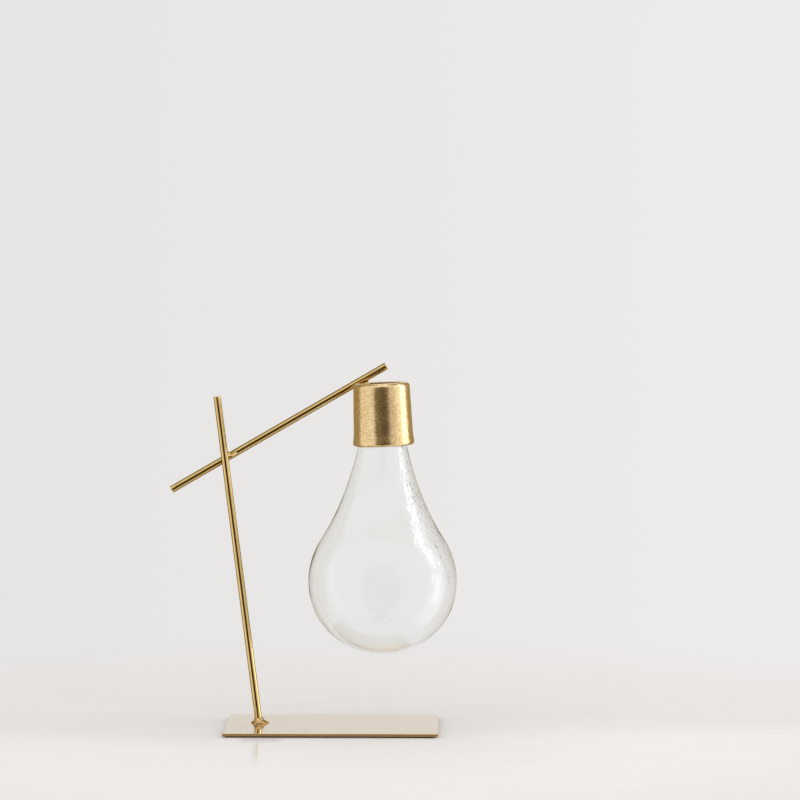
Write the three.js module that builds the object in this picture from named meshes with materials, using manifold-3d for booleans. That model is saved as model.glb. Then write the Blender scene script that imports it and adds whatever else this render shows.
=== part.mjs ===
import * as THREE from 'three';
import { mergeVertices } from 'three/addons/utils/BufferGeometryUtils.js';
import Module from 'manifold-3d';

// A stem vase. A clear glass vessel in the shape of a lamp bulb hangs mouth up in a metal
// collar, and two crossed rods on a flat plate carry the collar.
// Millimetres, +Z up, +X towards the glass, +Y towards the back.
// The origin is the centre of the base's underside.

// Base plate and the non-slip sheet under it
const plateLength = 115;
const plateDepth = 65;
const plateThickness = 1.5;
const plateCornerRadius = 0.6;
const sheetThickness = 0.8;
const sheetInset = 2;

// Rods
const rodDiameter = 4;
const rodChamfer = 0.25;
const rodGapAtCrossing = 0.3;
const footFromLeftEdge = 17.6;
const footBehindCentre = 2.4;
const uprightLean = THREE.MathUtils.degToRad(7.15);
const uprightLength = 178.9;
const crossingAlongUpright = 144.8;
const armRise = THREE.MathUtils.degToRad(30);
const armBehindCrossing = 33.9;
const armBeyondCollarWeld = 14.3;

// Welds
const weldClearance = 0.3;
const footWeldRadius = 5;
const footWeldHeight = 3;
const footWeldTopRadius = 3.1;
const crossingWeldReach = 2.8;
const crossingWeldRise = 2.4;
const crossingWeldDepth = 2;
const crossingWeldOffset = 3.3;
const crossingWeldLift = 0.4;
const collarWeldReach = 4.4;
const collarWeldThickness = 2.3;
const collarWeldBridge = 1.2;
const collarAlongArm = 86.3;
const collarWeldAzimuth = THREE.MathUtils.degToRad(126.9);

// Collar, a drawn metal cap that was welded on slightly out of plumb
const collarHeight = 33.6;
const collarWall = 0.6;
const collarShoulder = 2.2;
const collarDraft = 0.75;
const collarLipFlare = 0.55;
const collarLipHeight = 5;
const collarLipRoll = 1.5;
const collarLean = THREE.MathUtils.degToRad(2.3);
const leanCentreBelowTop = 15.4;

// Glass
const bellyRadius = 40;
const bellyDepth = 39.3;
const bellyFullness = 2.1;
const shoulderAngle = THREE.MathUtils.degToRad(32.9);
const flareHeight = 81.1;
const shoulderHandle = 30;
const neckHandle = 4;
const neckRadius = 11.8;
const neckRelief = 1;
const glassWall = 1.5;
const mouthClearance = 0.3;

// Thread, cut in the glass neck and in the sleeve, and the ring that the rim closes on
const threadPitch = 4;
const threadDepth = 0.9;
const threadTurns = 2;
const threadClearance = 0.25;
const threadBaseShare = 0.55;
const threadCrestShare = 0.27;
const threadRoot = 0.3;
const threadFade = 1 / 8;
const threadInset = 2.6;
const linerWall = 0.9;
const linerFit = 0.3;
const linerFlange = 1.2;
const linerBelowCollarTop = 2.7;
const linerAboveCollarLip = 9.3;
const linerChamfer = 0.4;
const sealThickness = 1.6;
const sealGap = 0.1;
const sealInset = 0.1;
const sealRound = 0.4;

// Facets
const roundSides = 40;
const rodSides = 24;
const weldSides = 20;
const weldRings = 12;

// Sizes that follow
const rodRadius = rodDiameter / 2;
const plateTop = sheetThickness + plateThickness;
const boreRadius = neckRadius - glassWall;
const mouthRadius = boreRadius + mouthClearance;
const crestRadius = neckRadius + threadDepth;
const linerCrestRadius = neckRadius + threadClearance;
const linerRootRadius = crestRadius + threadClearance;
const linerRadius = linerRootRadius + linerWall;
const linerAboveLeanCentre = leanCentreBelowTop - linerBelowCollarTop;
const leanShift = linerAboveLeanCentre * Math.sin(collarLean);
const collarTopRadius = linerRadius + leanShift + linerFit + collarWall;
const linerLength = collarHeight - linerBelowCollarTop - linerAboveCollarLip;
const rimBelowLinerTop = linerFlange + sealThickness + 2 * sealGap;
const neckLength = linerLength - rimBelowLinerTop + neckRelief;
const linerThreadStart = threadInset - linerLength;
const glassThreadStart = linerThreadStart + threadPitch / 2 + rimBelowLinerTop;

const wasm = await Module();
wasm.setup();

// Solids and geometry

function solidOf(geometry) {
  const bare = geometry.clone();
  bare.deleteAttribute('normal');
  bare.deleteAttribute('uv');
  const merged = mergeVertices(bare, 1e-4);
  const index = merged.index.array;
  const corners = [];
  for (let i = 0; i < index.length; i += 3) {
    const [a, b, c] = [index[i], index[i + 1], index[i + 2]];
    if (a !== b && b !== c && c !== a) corners.push(a, b, c);
  }
  const vertProperties = new Float32Array(merged.attributes.position.array);
  const triVerts = new Uint32Array(corners);
  return new wasm.Manifold(new wasm.Mesh({ numProp: 3, vertProperties, triVerts }));
}

function geometryOf(solid) {
  const mesh = solid.getMesh();
  const geometry = new THREE.BufferGeometry();
  geometry.setAttribute('position', new THREE.BufferAttribute(mesh.vertProperties, 3));
  geometry.setIndex(new THREE.BufferAttribute(mesh.triVerts, 1));
  geometry.computeVertexNormals();
  return geometry;
}

// A cut can leave slivers beside the piece, and only the piece itself is kept.
function largestOf(solid) {
  const pieces = solid.decompose();
  return pieces.reduce((best, piece) => (piece.volume() > best.volume() ? piece : best));
}

// A solid given in one group's frame, as another group sees it.
function seenFrom(viewer, solid, owner) {
  const matrix = viewer.matrixWorld.clone().invert().multiply(owner.matrixWorld);
  return solid.transform(matrix.elements);
}

// Turns an outline of [radius, height] pairs about Z. The outline runs anticlockwise.
function turned(outline, sides) {
  const points = outline.map(([radius, height]) => new THREE.Vector2(radius, height));
  return new THREE.LatheGeometry(points, sides).rotateX(Math.PI / 2);
}

// Points on an arc of an outline, both ends included.
function arc(centreRadius, centreHeight, radius, fromDegrees, toDegrees, steps) {
  return Array.from({ length: steps + 1 }, (_, i) => {
    const angle = THREE.MathUtils.degToRad(THREE.MathUtils.lerp(fromDegrees, toDegrees, i / steps));
    return [centreRadius + radius * Math.cos(angle), centreHeight + radius * Math.sin(angle)];
  });
}

function slab(length, depth, thickness, cornerRadius) {
  const shape = new THREE.Shape();
  const x = length / 2 - cornerRadius;
  const y = depth / 2 - cornerRadius;
  shape.absarc(x, -y, cornerRadius, -Math.PI / 2, 0, false);
  shape.absarc(x, y, cornerRadius, 0, Math.PI / 2, false);
  shape.absarc(-x, y, cornerRadius, Math.PI / 2, Math.PI, false);
  shape.absarc(-x, -y, cornerRadius, Math.PI, 1.5 * Math.PI, false);
  return new THREE.ExtrudeGeometry(shape, { depth: thickness, bevelEnabled: false, curveSegments: 3 });
}

// A round bar along +Z with chamfered ends.
function bar(length, radius, chamfer) {
  const outline = [
    [0, 0],
    [radius - chamfer, 0],
    [radius, chamfer],
    [radius, length - chamfer],
    [radius - chamfer, length],
    [0, length],
  ];
  return turned(outline, rodSides);
}

// A bead of weld metal, longest along X.
function bead(reach, depth, rise) {
  return new THREE.SphereGeometry(1, weldSides, weldRings).rotateX(Math.PI / 2).scale(reach, depth, rise);
}

// A screw ridge, outwards (+1) from a neck or inwards (-1) from a bore. It fades in and out at
// its ends, and its root is sunk in the wall.
function screwRidge(wallRadius, height, start, outwards) {
  const steps = threadTurns * roundSides;
  const fadeSteps = threadFade * roundSides;
  const base = (threadPitch * threadBaseShare) / 2;
  const crest = (threadPitch * threadCrestShare) / 2;
  const positions = [];
  const indices = [];
  for (let i = 0; i <= steps; i++) {
    const angle = (2 * Math.PI * i) / roundSides;
    const z = start + (threadPitch * i) / roundSides;
    const fade = Math.min(1, i / fadeSteps, (steps - i) / fadeSteps);
    const root = wallRadius - outwards * threadRoot;
    const top = wallRadius + outwards * (height * fade - (threadRoot / 2) * (1 - fade));
    const section = [[root, z - base], [top, z - crest], [top, z + crest], [root, z + base]];
    if (outwards < 0) section.reverse();
    section.forEach(([radius, h]) => {
      positions.push(radius * Math.cos(angle), radius * Math.sin(angle), h);
    });
  }
  for (let i = 0; i < steps; i++) {
    for (let j = 0; j < 4; j++) {
      const [a, b] = [4 * i + ((j + 1) % 4), 4 * i + j];
      indices.push(a, b, b + 4, a, b + 4, a + 4);
    }
  }
  const last = 4 * steps;
  indices.push(0, 1, 2, 0, 2, 3);
  indices.push(last, last + 2, last + 1, last, last + 3, last + 2);
  const geometry = new THREE.BufferGeometry();
  geometry.setAttribute('position', new THREE.Float32BufferAttribute(positions, 3));
  geometry.setIndex(indices);
  return geometry;
}

// Collar outline, grown outwards by a margin, from its lip at height 0 to its top.
function collarOutside(grow) {
  const skirtRadius = collarTopRadius + collarDraft;
  const lip = skirtRadius + collarLipFlare;
  const shoulderRadius = collarTopRadius - collarShoulder;
  return [
    ...arc(lip - collarLipRoll, collarLipRoll, collarLipRoll + grow, -90, 0, 4),
    [skirtRadius + grow, collarLipHeight],
    ...arc(shoulderRadius, collarHeight - collarShoulder, collarShoulder + grow, 0, 90, 5),
  ];
}

function collarInside() {
  const skirtRadius = collarTopRadius + collarDraft;
  const lip = skirtRadius + collarLipFlare;
  const shoulderRadius = collarTopRadius - collarShoulder;
  return [
    ...arc(shoulderRadius, collarHeight - collarShoulder, collarShoulder - collarWall, 90, 0, 4),
    [skirtRadius - collarWall, collarLipHeight],
    ...arc(lip - collarLipRoll, collarLipRoll, collarLipRoll - collarWall, 0, -90, 3),
  ];
}

// Glass outline from the lowest point up to the rim. Height 0 is the rim.
function glassWallPoints() {
  const belly = -neckLength - flareHeight;
  const power = 2 / bellyFullness;
  const lowerSteps = 12;
  const upperSteps = 5;
  const points = [new THREE.Vector2(0, belly - bellyDepth)];
  for (let i = 1; i < lowerSteps; i++) {
    const angle = (Math.PI / 2) * (1 - i / lowerSteps);
    const radius = bellyRadius * Math.cos(angle) ** power;
    points.push(new THREE.Vector2(radius, belly - bellyDepth * Math.sin(angle) ** power));
  }
  for (let i = 0; i < upperSteps; i++) {
    const angle = (shoulderAngle * i) / upperSteps;
    points.push(new THREE.Vector2(bellyRadius * Math.cos(angle), belly + bellyRadius * Math.sin(angle)));
  }
  const direction = new THREE.Vector2(-Math.sin(shoulderAngle), Math.cos(shoulderAngle));
  const shoulder = new THREE.Vector2(Math.cos(shoulderAngle), Math.sin(shoulderAngle))
    .multiplyScalar(bellyRadius).add(new THREE.Vector2(0, belly));
  const neck = new THREE.Vector2(neckRadius, -neckLength);
  const flare = new THREE.CubicBezierCurve(
    shoulder,
    direction.multiplyScalar(shoulderHandle).add(shoulder),
    new THREE.Vector2(neck.x, neck.y - neckHandle),
    neck,
  );
  points.push(...flare.getPoints(10));
  return points;
}

// The same points moved into the wall, square to the outline.
function inwards(points, distance) {
  return points.map((point, i) => {
    if (i === 0) return new THREE.Vector2(0, point.y + distance);
    const before = points[i - 1];
    const after = points[i + 1] ?? new THREE.Vector2(point.x, point.y + 1);
    const along = after.clone().sub(before).normalize();
    return new THREE.Vector2(point.x - along.y * distance, point.y + along.x * distance);
  });
}

// Materials

function finish(color, roughness, metalness) {
  return new THREE.MeshStandardMaterial({ color, roughness, metalness });
}

const plateLacquer = finish(0xcdb083, 0.32, 1);
const rodLacquer = finish(0xc2a268, 0.24, 1);
const weldMetal = finish(0xa98a52, 0.42, 1);
const collarLacquer = finish(0xc9a86b, 0.38, 1);
const sheetFoam = finish(0x2b2a28, 0.95, 0);
const linerPlastic = finish(0xe4e1d8, 0.55, 0);
const sealSilicone = finish(0xf0efec, 0.6, 0);
const clearGlass = new THREE.MeshStandardMaterial({
  color: 0xf2f5f3, roughness: 0.04, metalness: 0, transparent: true, opacity: 0.35,
});

function named(name, geometry, material, parent) {
  const mesh = new THREE.Mesh(geometry, material);
  mesh.name = name;
  parent.add(mesh);
  return mesh;
}

function placed(parent, position, turnAboutY) {
  const frame = new THREE.Group();
  frame.position.copy(position);
  frame.rotation.y = turnAboutY;
  parent.add(frame);
  frame.updateWorldMatrix(true, false);
  return frame;
}

// Frames. The upright's runs up the rod from its foot, the arm's runs along the arm from the
// crossing, and the collar's stands at the centre of its lip.
const group = new THREE.Group();
const origin = new THREE.Vector3();
const baseFrame = placed(group, origin, 0);
const foot = new THREE.Vector3(footFromLeftEdge - plateLength / 2, footBehindCentre, plateTop);
const footFrame = placed(baseFrame, foot, 0);
const uprightFrame = placed(footFrame, origin, -uprightLean);

const crossing = new THREE.Vector3(0, 0, crossingAlongUpright).applyMatrix4(uprightFrame.matrixWorld);
crossing.y += rodDiameter + rodGapAtCrossing;
const armFrame = placed(group, crossing, -armRise);

// The collar hangs where its shoulder comes nearest the arm, one weld bridge away from it.
const leanTurn = new THREE.Matrix4().makeRotationY(-collarLean);
const armAxis = new THREE.Vector3(Math.cos(armRise), 0, Math.sin(armRise));
const rimOut = new THREE.Vector3(Math.cos(collarWeldAzimuth), Math.sin(collarWeldAzimuth), 0)
  .applyMatrix4(leanTurn);
const rimAlong = new THREE.Vector3(-Math.sin(collarWeldAzimuth), Math.cos(collarWeldAzimuth), 0)
  .applyMatrix4(leanTurn);
const collarUp = new THREE.Vector3(0, 0, 1).applyMatrix4(leanTurn);
const armToCollar = rimAlong.clone().cross(armAxis).normalize();
if (armToCollar.z > 0) armToCollar.negate();
const weldPoint = new THREE.Vector3(collarAlongArm, 0, 0).applyMatrix4(armFrame.matrixWorld);
const collarTop = weldPoint.clone()
  .addScaledVector(armToCollar, rodRadius + collarWeldBridge + collarShoulder)
  .addScaledVector(rimOut, collarShoulder - collarTopRadius)
  .addScaledVector(collarUp, collarShoulder);
const collarLip = collarTop.clone().addScaledVector(collarUp, -collarHeight);
const collarFrame = placed(group, collarLip, -collarLean);

// The glass and its sleeve hang plumb through the point that the collar leans about.
const linerTop = collarTop.clone().addScaledVector(collarUp, -leanCentreBelowTop);
linerTop.z += linerAboveLeanCentre;
const linerFrame = placed(group, linerTop, 0);
const rim = linerTop.clone();
rim.z -= rimBelowLinerTop;
const glassFrame = placed(group, rim, 0);

// Base
const sheet = slab(plateLength - 2 * sheetInset, plateDepth - 2 * sheetInset, sheetThickness, plateCornerRadius);
named('base_sheet', sheet, sheetFoam, baseFrame);
const plate = slab(plateLength, plateDepth, plateThickness, plateCornerRadius);
named('base_plate', plate, plateLacquer, baseFrame).position.z = sheetThickness;

// Upright, mitred at its foot so that it stands level on the plate
const mitreLength = 2 * rodRadius;
const longUpright = solidOf(bar(uprightLength + mitreLength, rodRadius, rodChamfer).translate(0, 0, -mitreLength));
const belowPlate = solidOf(
  new THREE.BoxGeometry(6 * rodDiameter, 6 * rodDiameter, 2 * rodDiameter)
    .translate(0, 0, weldClearance - rodDiameter),
);
const upright = longUpright.subtract(seenFrom(uprightFrame, belowPlate, footFrame));
named('upright_rod', geometryOf(upright), rodLacquer, uprightFrame);

// A rod grown by the weld clearance, to cut the welds with. It is longer than any weld.
function rodCutter(length) {
  return solidOf(bar(2 * length, rodRadius + weldClearance, 0).translate(0, 0, -length));
}

// Foot weld, a flared collar of metal round the foot
const footWeldMound = solidOf(turned([
  [0, 0],
  [footWeldRadius, 0],
  [footWeldRadius - 0.25, 0.7],
  [footWeldTopRadius + 0.7, footWeldHeight * 0.5],
  [footWeldTopRadius, footWeldHeight],
  [0, footWeldHeight],
], rodSides));
const footCutter = seenFrom(footFrame, rodCutter(4 * footWeldHeight), uprightFrame);
named('foot_weld', geometryOf(footWeldMound.subtract(footCutter)), weldMetal, footFrame);

// Arm
const armLength = armBehindCrossing + collarAlongArm + armBeyondCollarWeld;
const arm = bar(armLength, rodRadius, rodChamfer).rotateY(Math.PI / 2).translate(-armBehindCrossing, 0, 0);
named('arm_rod', arm, rodLacquer, armFrame);
const armCutter = solidOf(
  bar(armLength, rodRadius + weldClearance, 0).rotateY(Math.PI / 2).translate(-armBehindCrossing, 0, 0),
);

// Crossing weld, in the corner in front of the arm and right of the upright
const crossingBead = solidOf(
  bead(crossingWeldReach, crossingWeldDepth, crossingWeldRise)
    .translate(crossingWeldOffset, -rodRadius - weldClearance, crossingWeldLift),
);
const uprightCutter = seenFrom(armFrame, rodCutter(uprightLength), uprightFrame);
const crossingWeld = largestOf(crossingBead.subtract(armCutter).subtract(uprightCutter));
named('crossing_weld', geometryOf(crossingWeld), weldMetal, armFrame);

// Collar weld, bridging the arm and the back left of the collar's shoulder
const collarOutline = collarOutside(0);
const collarProfile = [...collarOutline, [mouthRadius, collarHeight], [mouthRadius, collarHeight - collarWall],
  ...collarInside(), collarOutline[0]];
named('collar', turned(collarProfile, roundSides), collarLacquer, collarFrame);
const collarBlank = solidOf(turned([
  [0, 0],
  ...collarOutside(weldClearance),
  [0, collarHeight + weldClearance],
], roundSides));
const armDirection = new THREE.Matrix4().makeRotationY(armRise);
const bridgeCentre = armToCollar.clone().applyMatrix4(armDirection)
  .multiplyScalar(rodRadius + collarWeldBridge / 2).add(new THREE.Vector3(collarAlongArm, 0, 0));
const collarBead = solidOf(
  bead(collarWeldReach, collarWeldThickness, collarWeldThickness)
    .translate(bridgeCentre.x, bridgeCentre.y, bridgeCentre.z),
);
const collarCutter = seenFrom(armFrame, collarBlank, collarFrame);
const collarWeld = largestOf(collarBead.subtract(armCutter).subtract(collarCutter));
named('collar_weld', geometryOf(collarWeld), weldMetal, armFrame);

// Threaded sleeve. Height 0 is its top.
const linerBody = solidOf(turned([
  [linerRootRadius, -linerLength],
  [linerRadius, -linerLength],
  [linerRadius, -linerChamfer],
  [linerRadius - linerChamfer, 0],
  [mouthRadius, 0],
  [mouthRadius, -linerFlange],
  [linerRootRadius, -linerFlange],
  [linerRootRadius, -linerLength],
], roundSides));
const linerRidge = solidOf(
  screwRidge(linerRootRadius, linerRootRadius - linerCrestRadius, linerThreadStart, -1),
);
named('thread_liner', geometryOf(linerBody.add(linerRidge)), linerPlastic, linerFrame);

// Seal. Height 0 is the rim of the glass.
const sealOuter = neckRadius - sealInset;
const sealInner = boreRadius + sealInset;
const sealTop = sealGap + sealThickness;
named('neck_seal', turned([
  [sealInner, sealGap + sealRound],
  [sealInner + sealRound, sealGap],
  [sealOuter - sealRound, sealGap],
  [sealOuter, sealGap + sealRound],
  [sealOuter, sealTop - sealRound],
  [sealOuter - sealRound, sealTop],
  [sealInner + sealRound, sealTop],
  [sealInner, sealTop - sealRound],
  [sealInner, sealGap + sealRound],
], roundSides), sealSilicone, glassFrame);

// Glass
const outerWall = glassWallPoints();
const innerWall = inwards(outerWall, glassWall).reverse();
const rimRadius = glassWall / 2;
const glassOutline = [
  ...outerWall.map((point) => [point.x, point.y]),
  ...arc(neckRadius - rimRadius, -rimRadius, rimRadius, 0, 180, 6),
  ...innerWall.map((point) => [point.x, point.y]),
];
const glassBody = solidOf(turned(glassOutline, roundSides));
const glassRidge = solidOf(screwRidge(neckRadius, threadDepth, glassThreadStart, 1));
named('glass_bulb', geometryOf(glassBody.add(glassRidge)), clearGlass, glassFrame);

export default group;
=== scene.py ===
"""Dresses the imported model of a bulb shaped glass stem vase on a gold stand.

The frame gives each piece its place. Every piece is made again in fine geometry inside the
solid that it stands for, and gets its own finish: glossy rods, rough welds, a satin collar, a
lacquered plate and clear blown glass. Lengths are in metres, +Z is up and +Y is the back.
"""

import logging
import math
from collections.abc import Mapping, Sequence
from dataclasses import asdict, dataclass, fields, replace
from enum import Enum

import bmesh
import bpy
from mathutils import Euler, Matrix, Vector


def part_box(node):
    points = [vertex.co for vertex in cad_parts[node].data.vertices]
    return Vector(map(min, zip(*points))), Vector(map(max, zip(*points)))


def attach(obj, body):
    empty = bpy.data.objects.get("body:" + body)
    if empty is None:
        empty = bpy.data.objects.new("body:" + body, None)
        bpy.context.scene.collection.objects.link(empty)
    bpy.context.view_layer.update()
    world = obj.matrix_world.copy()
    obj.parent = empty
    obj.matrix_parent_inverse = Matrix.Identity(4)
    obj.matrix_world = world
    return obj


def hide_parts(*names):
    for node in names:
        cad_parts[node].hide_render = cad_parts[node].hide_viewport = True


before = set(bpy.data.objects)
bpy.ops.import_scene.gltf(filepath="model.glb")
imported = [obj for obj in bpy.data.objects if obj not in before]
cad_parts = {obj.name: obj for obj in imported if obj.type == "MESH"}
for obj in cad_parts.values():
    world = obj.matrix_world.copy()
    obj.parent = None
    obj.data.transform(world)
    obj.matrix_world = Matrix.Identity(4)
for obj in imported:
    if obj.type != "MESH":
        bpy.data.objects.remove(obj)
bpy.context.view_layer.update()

MM = 0.001
TINY = 0.0001 * MM  # a length that counts as none
TOUCHING = 0.001 * MM  # places on a mesh closer than this count as one
NO_FLOOR = -1.0  # a height that no weld reaches down to
log = logging.getLogger("vase")

Point = tuple[float, float]
Place = tuple[float, float, float]
Outline = list[Place]
Colour = tuple[float, float, float, float]
Feed = bpy.types.NodeSocket | float | int | bool | str | tuple | Vector
Inputs = Mapping[str | int, Feed]


class Body(Enum):
    """The frame's bodies."""

    STAND = "stand"
    SEAL = "seal"
    BULB = "bulb"


class Slot(Enum):
    """The record's material slots."""

    PLATE = "plate_lacquer"
    ROD = "rod_lacquer"
    WELD = "weld_metal"
    COLLAR = "collar_lacquer"
    FOAM = "sheet_foam"
    LINER = "liner_plastic"
    SEAL = "seal_silicone"
    GLASS = "clear_glass"


def linear(level: int) -> float:
    """Turns one part of a colour as a screen shows it, 0 to 255, into a linear one."""
    share = level / 255
    return share / 12.92 if share <= 0.04045 else ((share + 0.055) / 1.055) ** 2.4


def srgb(red: int, green: int, blue: int) -> Colour:
    """Turns a colour as a screen shows it into a linear one."""
    return (linear(red), linear(green), linear(blue), 1.0)


def grey(level: float) -> Colour:
    """A grey of that brightness."""
    return (level, level, level, 1.0)


def add_object(name: str, data: bpy.types.ID) -> bpy.types.Object:
    """Adds an object to the scene.

    Args:
        name: the object's name.
        data: its mesh, lamp or camera.

    Returns:
        The object.
    """
    thing = bpy.data.objects.new(name, data)
    bpy.context.scene.collection.objects.link(thing)
    return thing


def add_shape(name: str, shape: bmesh.types.BMesh, finish: bpy.types.Material) -> bpy.types.Object:
    """Turns a finished shape into an object.

    Args:
        name: the object's name.
        shape: the shape, which is used up.
        finish: its material.

    Returns:
        The object.
    """
    mesh = bpy.data.meshes.new(name)
    shape.to_mesh(mesh)
    shape.free()
    mesh.materials.append(finish)
    return add_object(name, mesh)


# Node trees


class NodeGraph:
    """Short calls that add, set and link the nodes of one tree."""

    def __init__(self, tree: bpy.types.NodeTree) -> None:
        """Keeps the tree that the calls add to."""
        self.tree = tree

    def add(self, kind: str, inputs: Inputs | None = None, **options: object) -> bpy.types.Node:
        """Adds a node.

        Args:
            kind: Blender's name of the node's type.
            inputs: a value or another node's output for each input, by name or place.
            **options: the node's own settings.

        Returns:
            The new node.
        """
        node = self.tree.nodes.new(kind)
        for name, value in options.items():
            setattr(node, name, value)
        for key, value in (inputs or {}).items():
            self.feed(self.socket(node.inputs, key), value)
        return node

    def out(self, kind: str, inputs: Inputs | None = None, pick: str | int = 0,
            **options: object) -> bpy.types.NodeSocket:
        """Adds a node and returns the output that pick names, or its first one in use."""
        node = self.add(kind, inputs, **options)
        return self.socket(node.outputs, pick)

    @staticmethod
    def socket(sockets: Sequence[bpy.types.NodeSocket], key: str | int) -> bpy.types.NodeSocket:
        """Finds a socket that is in use.

        Args:
            sockets: a node's inputs or outputs.
            key: the socket's name, or its place among those in use.

        Returns:
            The socket.
        """
        in_use = [socket for socket in sockets if socket.enabled]
        if isinstance(key, int):
            return in_use[key]
        return next(socket for socket in in_use if socket.name == key)

    def feed(self, socket: bpy.types.NodeSocket, value: Feed) -> None:
        """Links an output to a socket, or sets the socket's own value.

        Args:
            socket: the input.
            value: an output or a plain value.
        """
        if isinstance(value, bpy.types.NodeSocket):
            self.tree.links.new(value, socket)
        else:
            socket.default_value = value

    def math(self, operation: str, *values: Feed, clamp: bool = False) -> bpy.types.NodeSocket:
        """Adds a Math node and returns its result."""
        return self.out("ShaderNodeMath", dict(enumerate(values)), operation=operation, use_clamp=clamp)

    def vector(self, operation: str, *values: Feed, pick: str = "Vector") -> bpy.types.NodeSocket:
        """Adds a Vector Math node and returns its result."""
        return self.out("ShaderNodeVectorMath", dict(enumerate(values)), pick, operation=operation)

    def parts(self, vector: Feed) -> Mapping[str, bpy.types.NodeSocket]:
        """Splits a vector into its X, Y and Z."""
        return self.add("ShaderNodeSeparateXYZ", {"Vector": vector}).outputs

    def spread(self, value: Feed, low: Feed, high: Feed, to_low: Feed = 0.0, to_high: Feed = 1.0,
               smooth: bool = False) -> bpy.types.NodeSocket:
        """Maps one range onto another, and holds the result between the second one's ends.

        Args:
            value: what is mapped.
            low: where the first range starts.
            high: where it ends.
            to_low: the result at low.
            to_high: the result at high.
            smooth: eases the result in and out.

        Returns:
            The result.
        """
        kind = "SMOOTHSTEP" if smooth else "LINEAR"
        inputs = {"Value": value, "From Min": low, "From Max": high, "To Min": to_low, "To Max": to_high}
        return self.out("ShaderNodeMapRange", inputs, interpolation_type=kind, clamp=True)

    def noise(self, where: Feed, size: float, detail: float = 2.0, shift: Feed = 0.0) -> bpy.types.NodeSocket:
        """Adds a Noise Texture whose features are about size across, and returns its level."""
        inputs = {"Vector": where, "W": shift, "Scale": 1 / size, "Detail": detail}
        return self.out("ShaderNodeTexNoise", inputs, noise_dimensions="4D")

    def blend(self, share: Feed, first: Feed, second: Feed) -> bpy.types.NodeSocket:
        """Mixes two colours."""
        return self.out("ShaderNodeMix", {"Factor": share, "A": first, "B": second}, data_type="RGBA")

    def bump(self, height: Feed, depth: float, normal: Feed | None = None) -> bpy.types.NodeSocket:
        """Raises a surface by a height of 0 to 1 times depth, on top of another normal if given."""
        below = {} if normal is None else {"Normal": normal}
        return self.out("ShaderNodeBump", {"Height": height, "Distance": depth, "Strength": 1.0, **below})


class ShapeTree(NodeGraph):
    """A Geometry Nodes tree with named inputs."""

    def __init__(self, name: str) -> None:
        """Starts a tree that takes a mesh in and gives a mesh out.

        Args:
            name: the tree's name.
        """
        super().__init__(bpy.data.node_groups.new(name, "GeometryNodeTree"))
        self.entry = self.tree.nodes.new("NodeGroupInput")
        self.exit = self.tree.nodes.new("NodeGroupOutput")
        self.take("Geometry", "NodeSocketGeometry")
        self.tree.interface.new_socket("Geometry", in_out="OUTPUT", socket_type="NodeSocketGeometry")

    def take(self, name: str, kind: str = "NodeSocketFloat") -> bpy.types.NodeSocket:
        """Adds a named input to the tree and returns the output that brings it in."""
        self.tree.interface.new_socket(name, in_out="INPUT", socket_type=kind)
        return self.entry.outputs[name]

    def finish(self, mesh: Feed, crease: float, material: Feed) -> None:
        """Closes the tree.

        Args:
            mesh: the shape.
            crease: the angle up to which it is shaded smooth, in radians.
            material: the shape's material.
        """
        angle = self.out("GeometryNodeInputMeshEdgeAngle")
        is_soft = self.out("FunctionNodeCompare", {"A": angle, "B": crease}, operation="LESS_THAN")
        shade = "GeometryNodeSetShadeSmooth"
        smooth = self.out(shade, {"Geometry": mesh, "Shade Smooth": True}, domain="FACE")
        creased = self.out(shade, {"Geometry": smooth, "Shade Smooth": is_soft}, domain="EDGE")
        real = self.out("GeometryNodeRealizeInstances", {"Geometry": creased})
        painted = self.out("GeometryNodeSetMaterial", {"Geometry": real, "Material": material})
        self.feed(self.exit.inputs["Geometry"], painted)

    def run(self, name: str, start: bpy.types.Mesh, settings: Mapping[str, object]) -> bpy.types.Object:
        """Runs the tree on a mesh and keeps the result as a plain mesh.

        Args:
            name: the finished piece's name.
            start: the mesh that goes into the tree.
            settings: a value for each named input.

        Returns:
            The piece, at the origin, with its place in its mesh.
        """
        piece = add_object(name, start)
        modifier = piece.modifiers.new("shape", "NODES")
        modifier.node_group = self.tree
        identifiers = {item.name: item.identifier for item in self.tree.interface.items_tree}
        for label, value in settings.items():
            modifier[identifiers[label]] = value
        shaped = piece.evaluated_get(bpy.context.evaluated_depsgraph_get())
        result = bpy.data.meshes.new_from_object(shaped)
        piece.modifiers.remove(modifier)
        piece.data = result
        result.name = name
        return piece


def line_mesh(name: str, points: Sequence[Sequence[float]]) -> bpy.types.Mesh:
    """Makes a mesh of points joined one after the other by edges.

    Args:
        name: the mesh's name.
        points: the points, in order.

    Returns:
        The mesh.
    """
    mesh = bpy.data.meshes.new(name)
    edges = [(i, i + 1) for i in range(len(points) - 1)]
    mesh.from_pydata([tuple(point) for point in points], edges, [])
    return mesh


def empty_graph(owner: bpy.types.Material | bpy.types.World) -> NodeGraph:
    """Gives a material or a world an empty node tree.

    Args:
        owner: the material or the world.

    Returns:
        The tree's graph.
    """
    owner.use_nodes = True
    owner.node_tree.nodes.clear()
    return NodeGraph(owner.node_tree)


# Finishes


def new_material(name: str) -> tuple[bpy.types.Material, NodeGraph, bpy.types.Node]:
    """Starts a node material.

    Args:
        name: the material's name.

    Returns:
        The material, its graph and its output node.
    """
    material = bpy.data.materials.new(name)
    graph = empty_graph(material)
    return material, graph, graph.add("ShaderNodeOutputMaterial")


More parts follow.
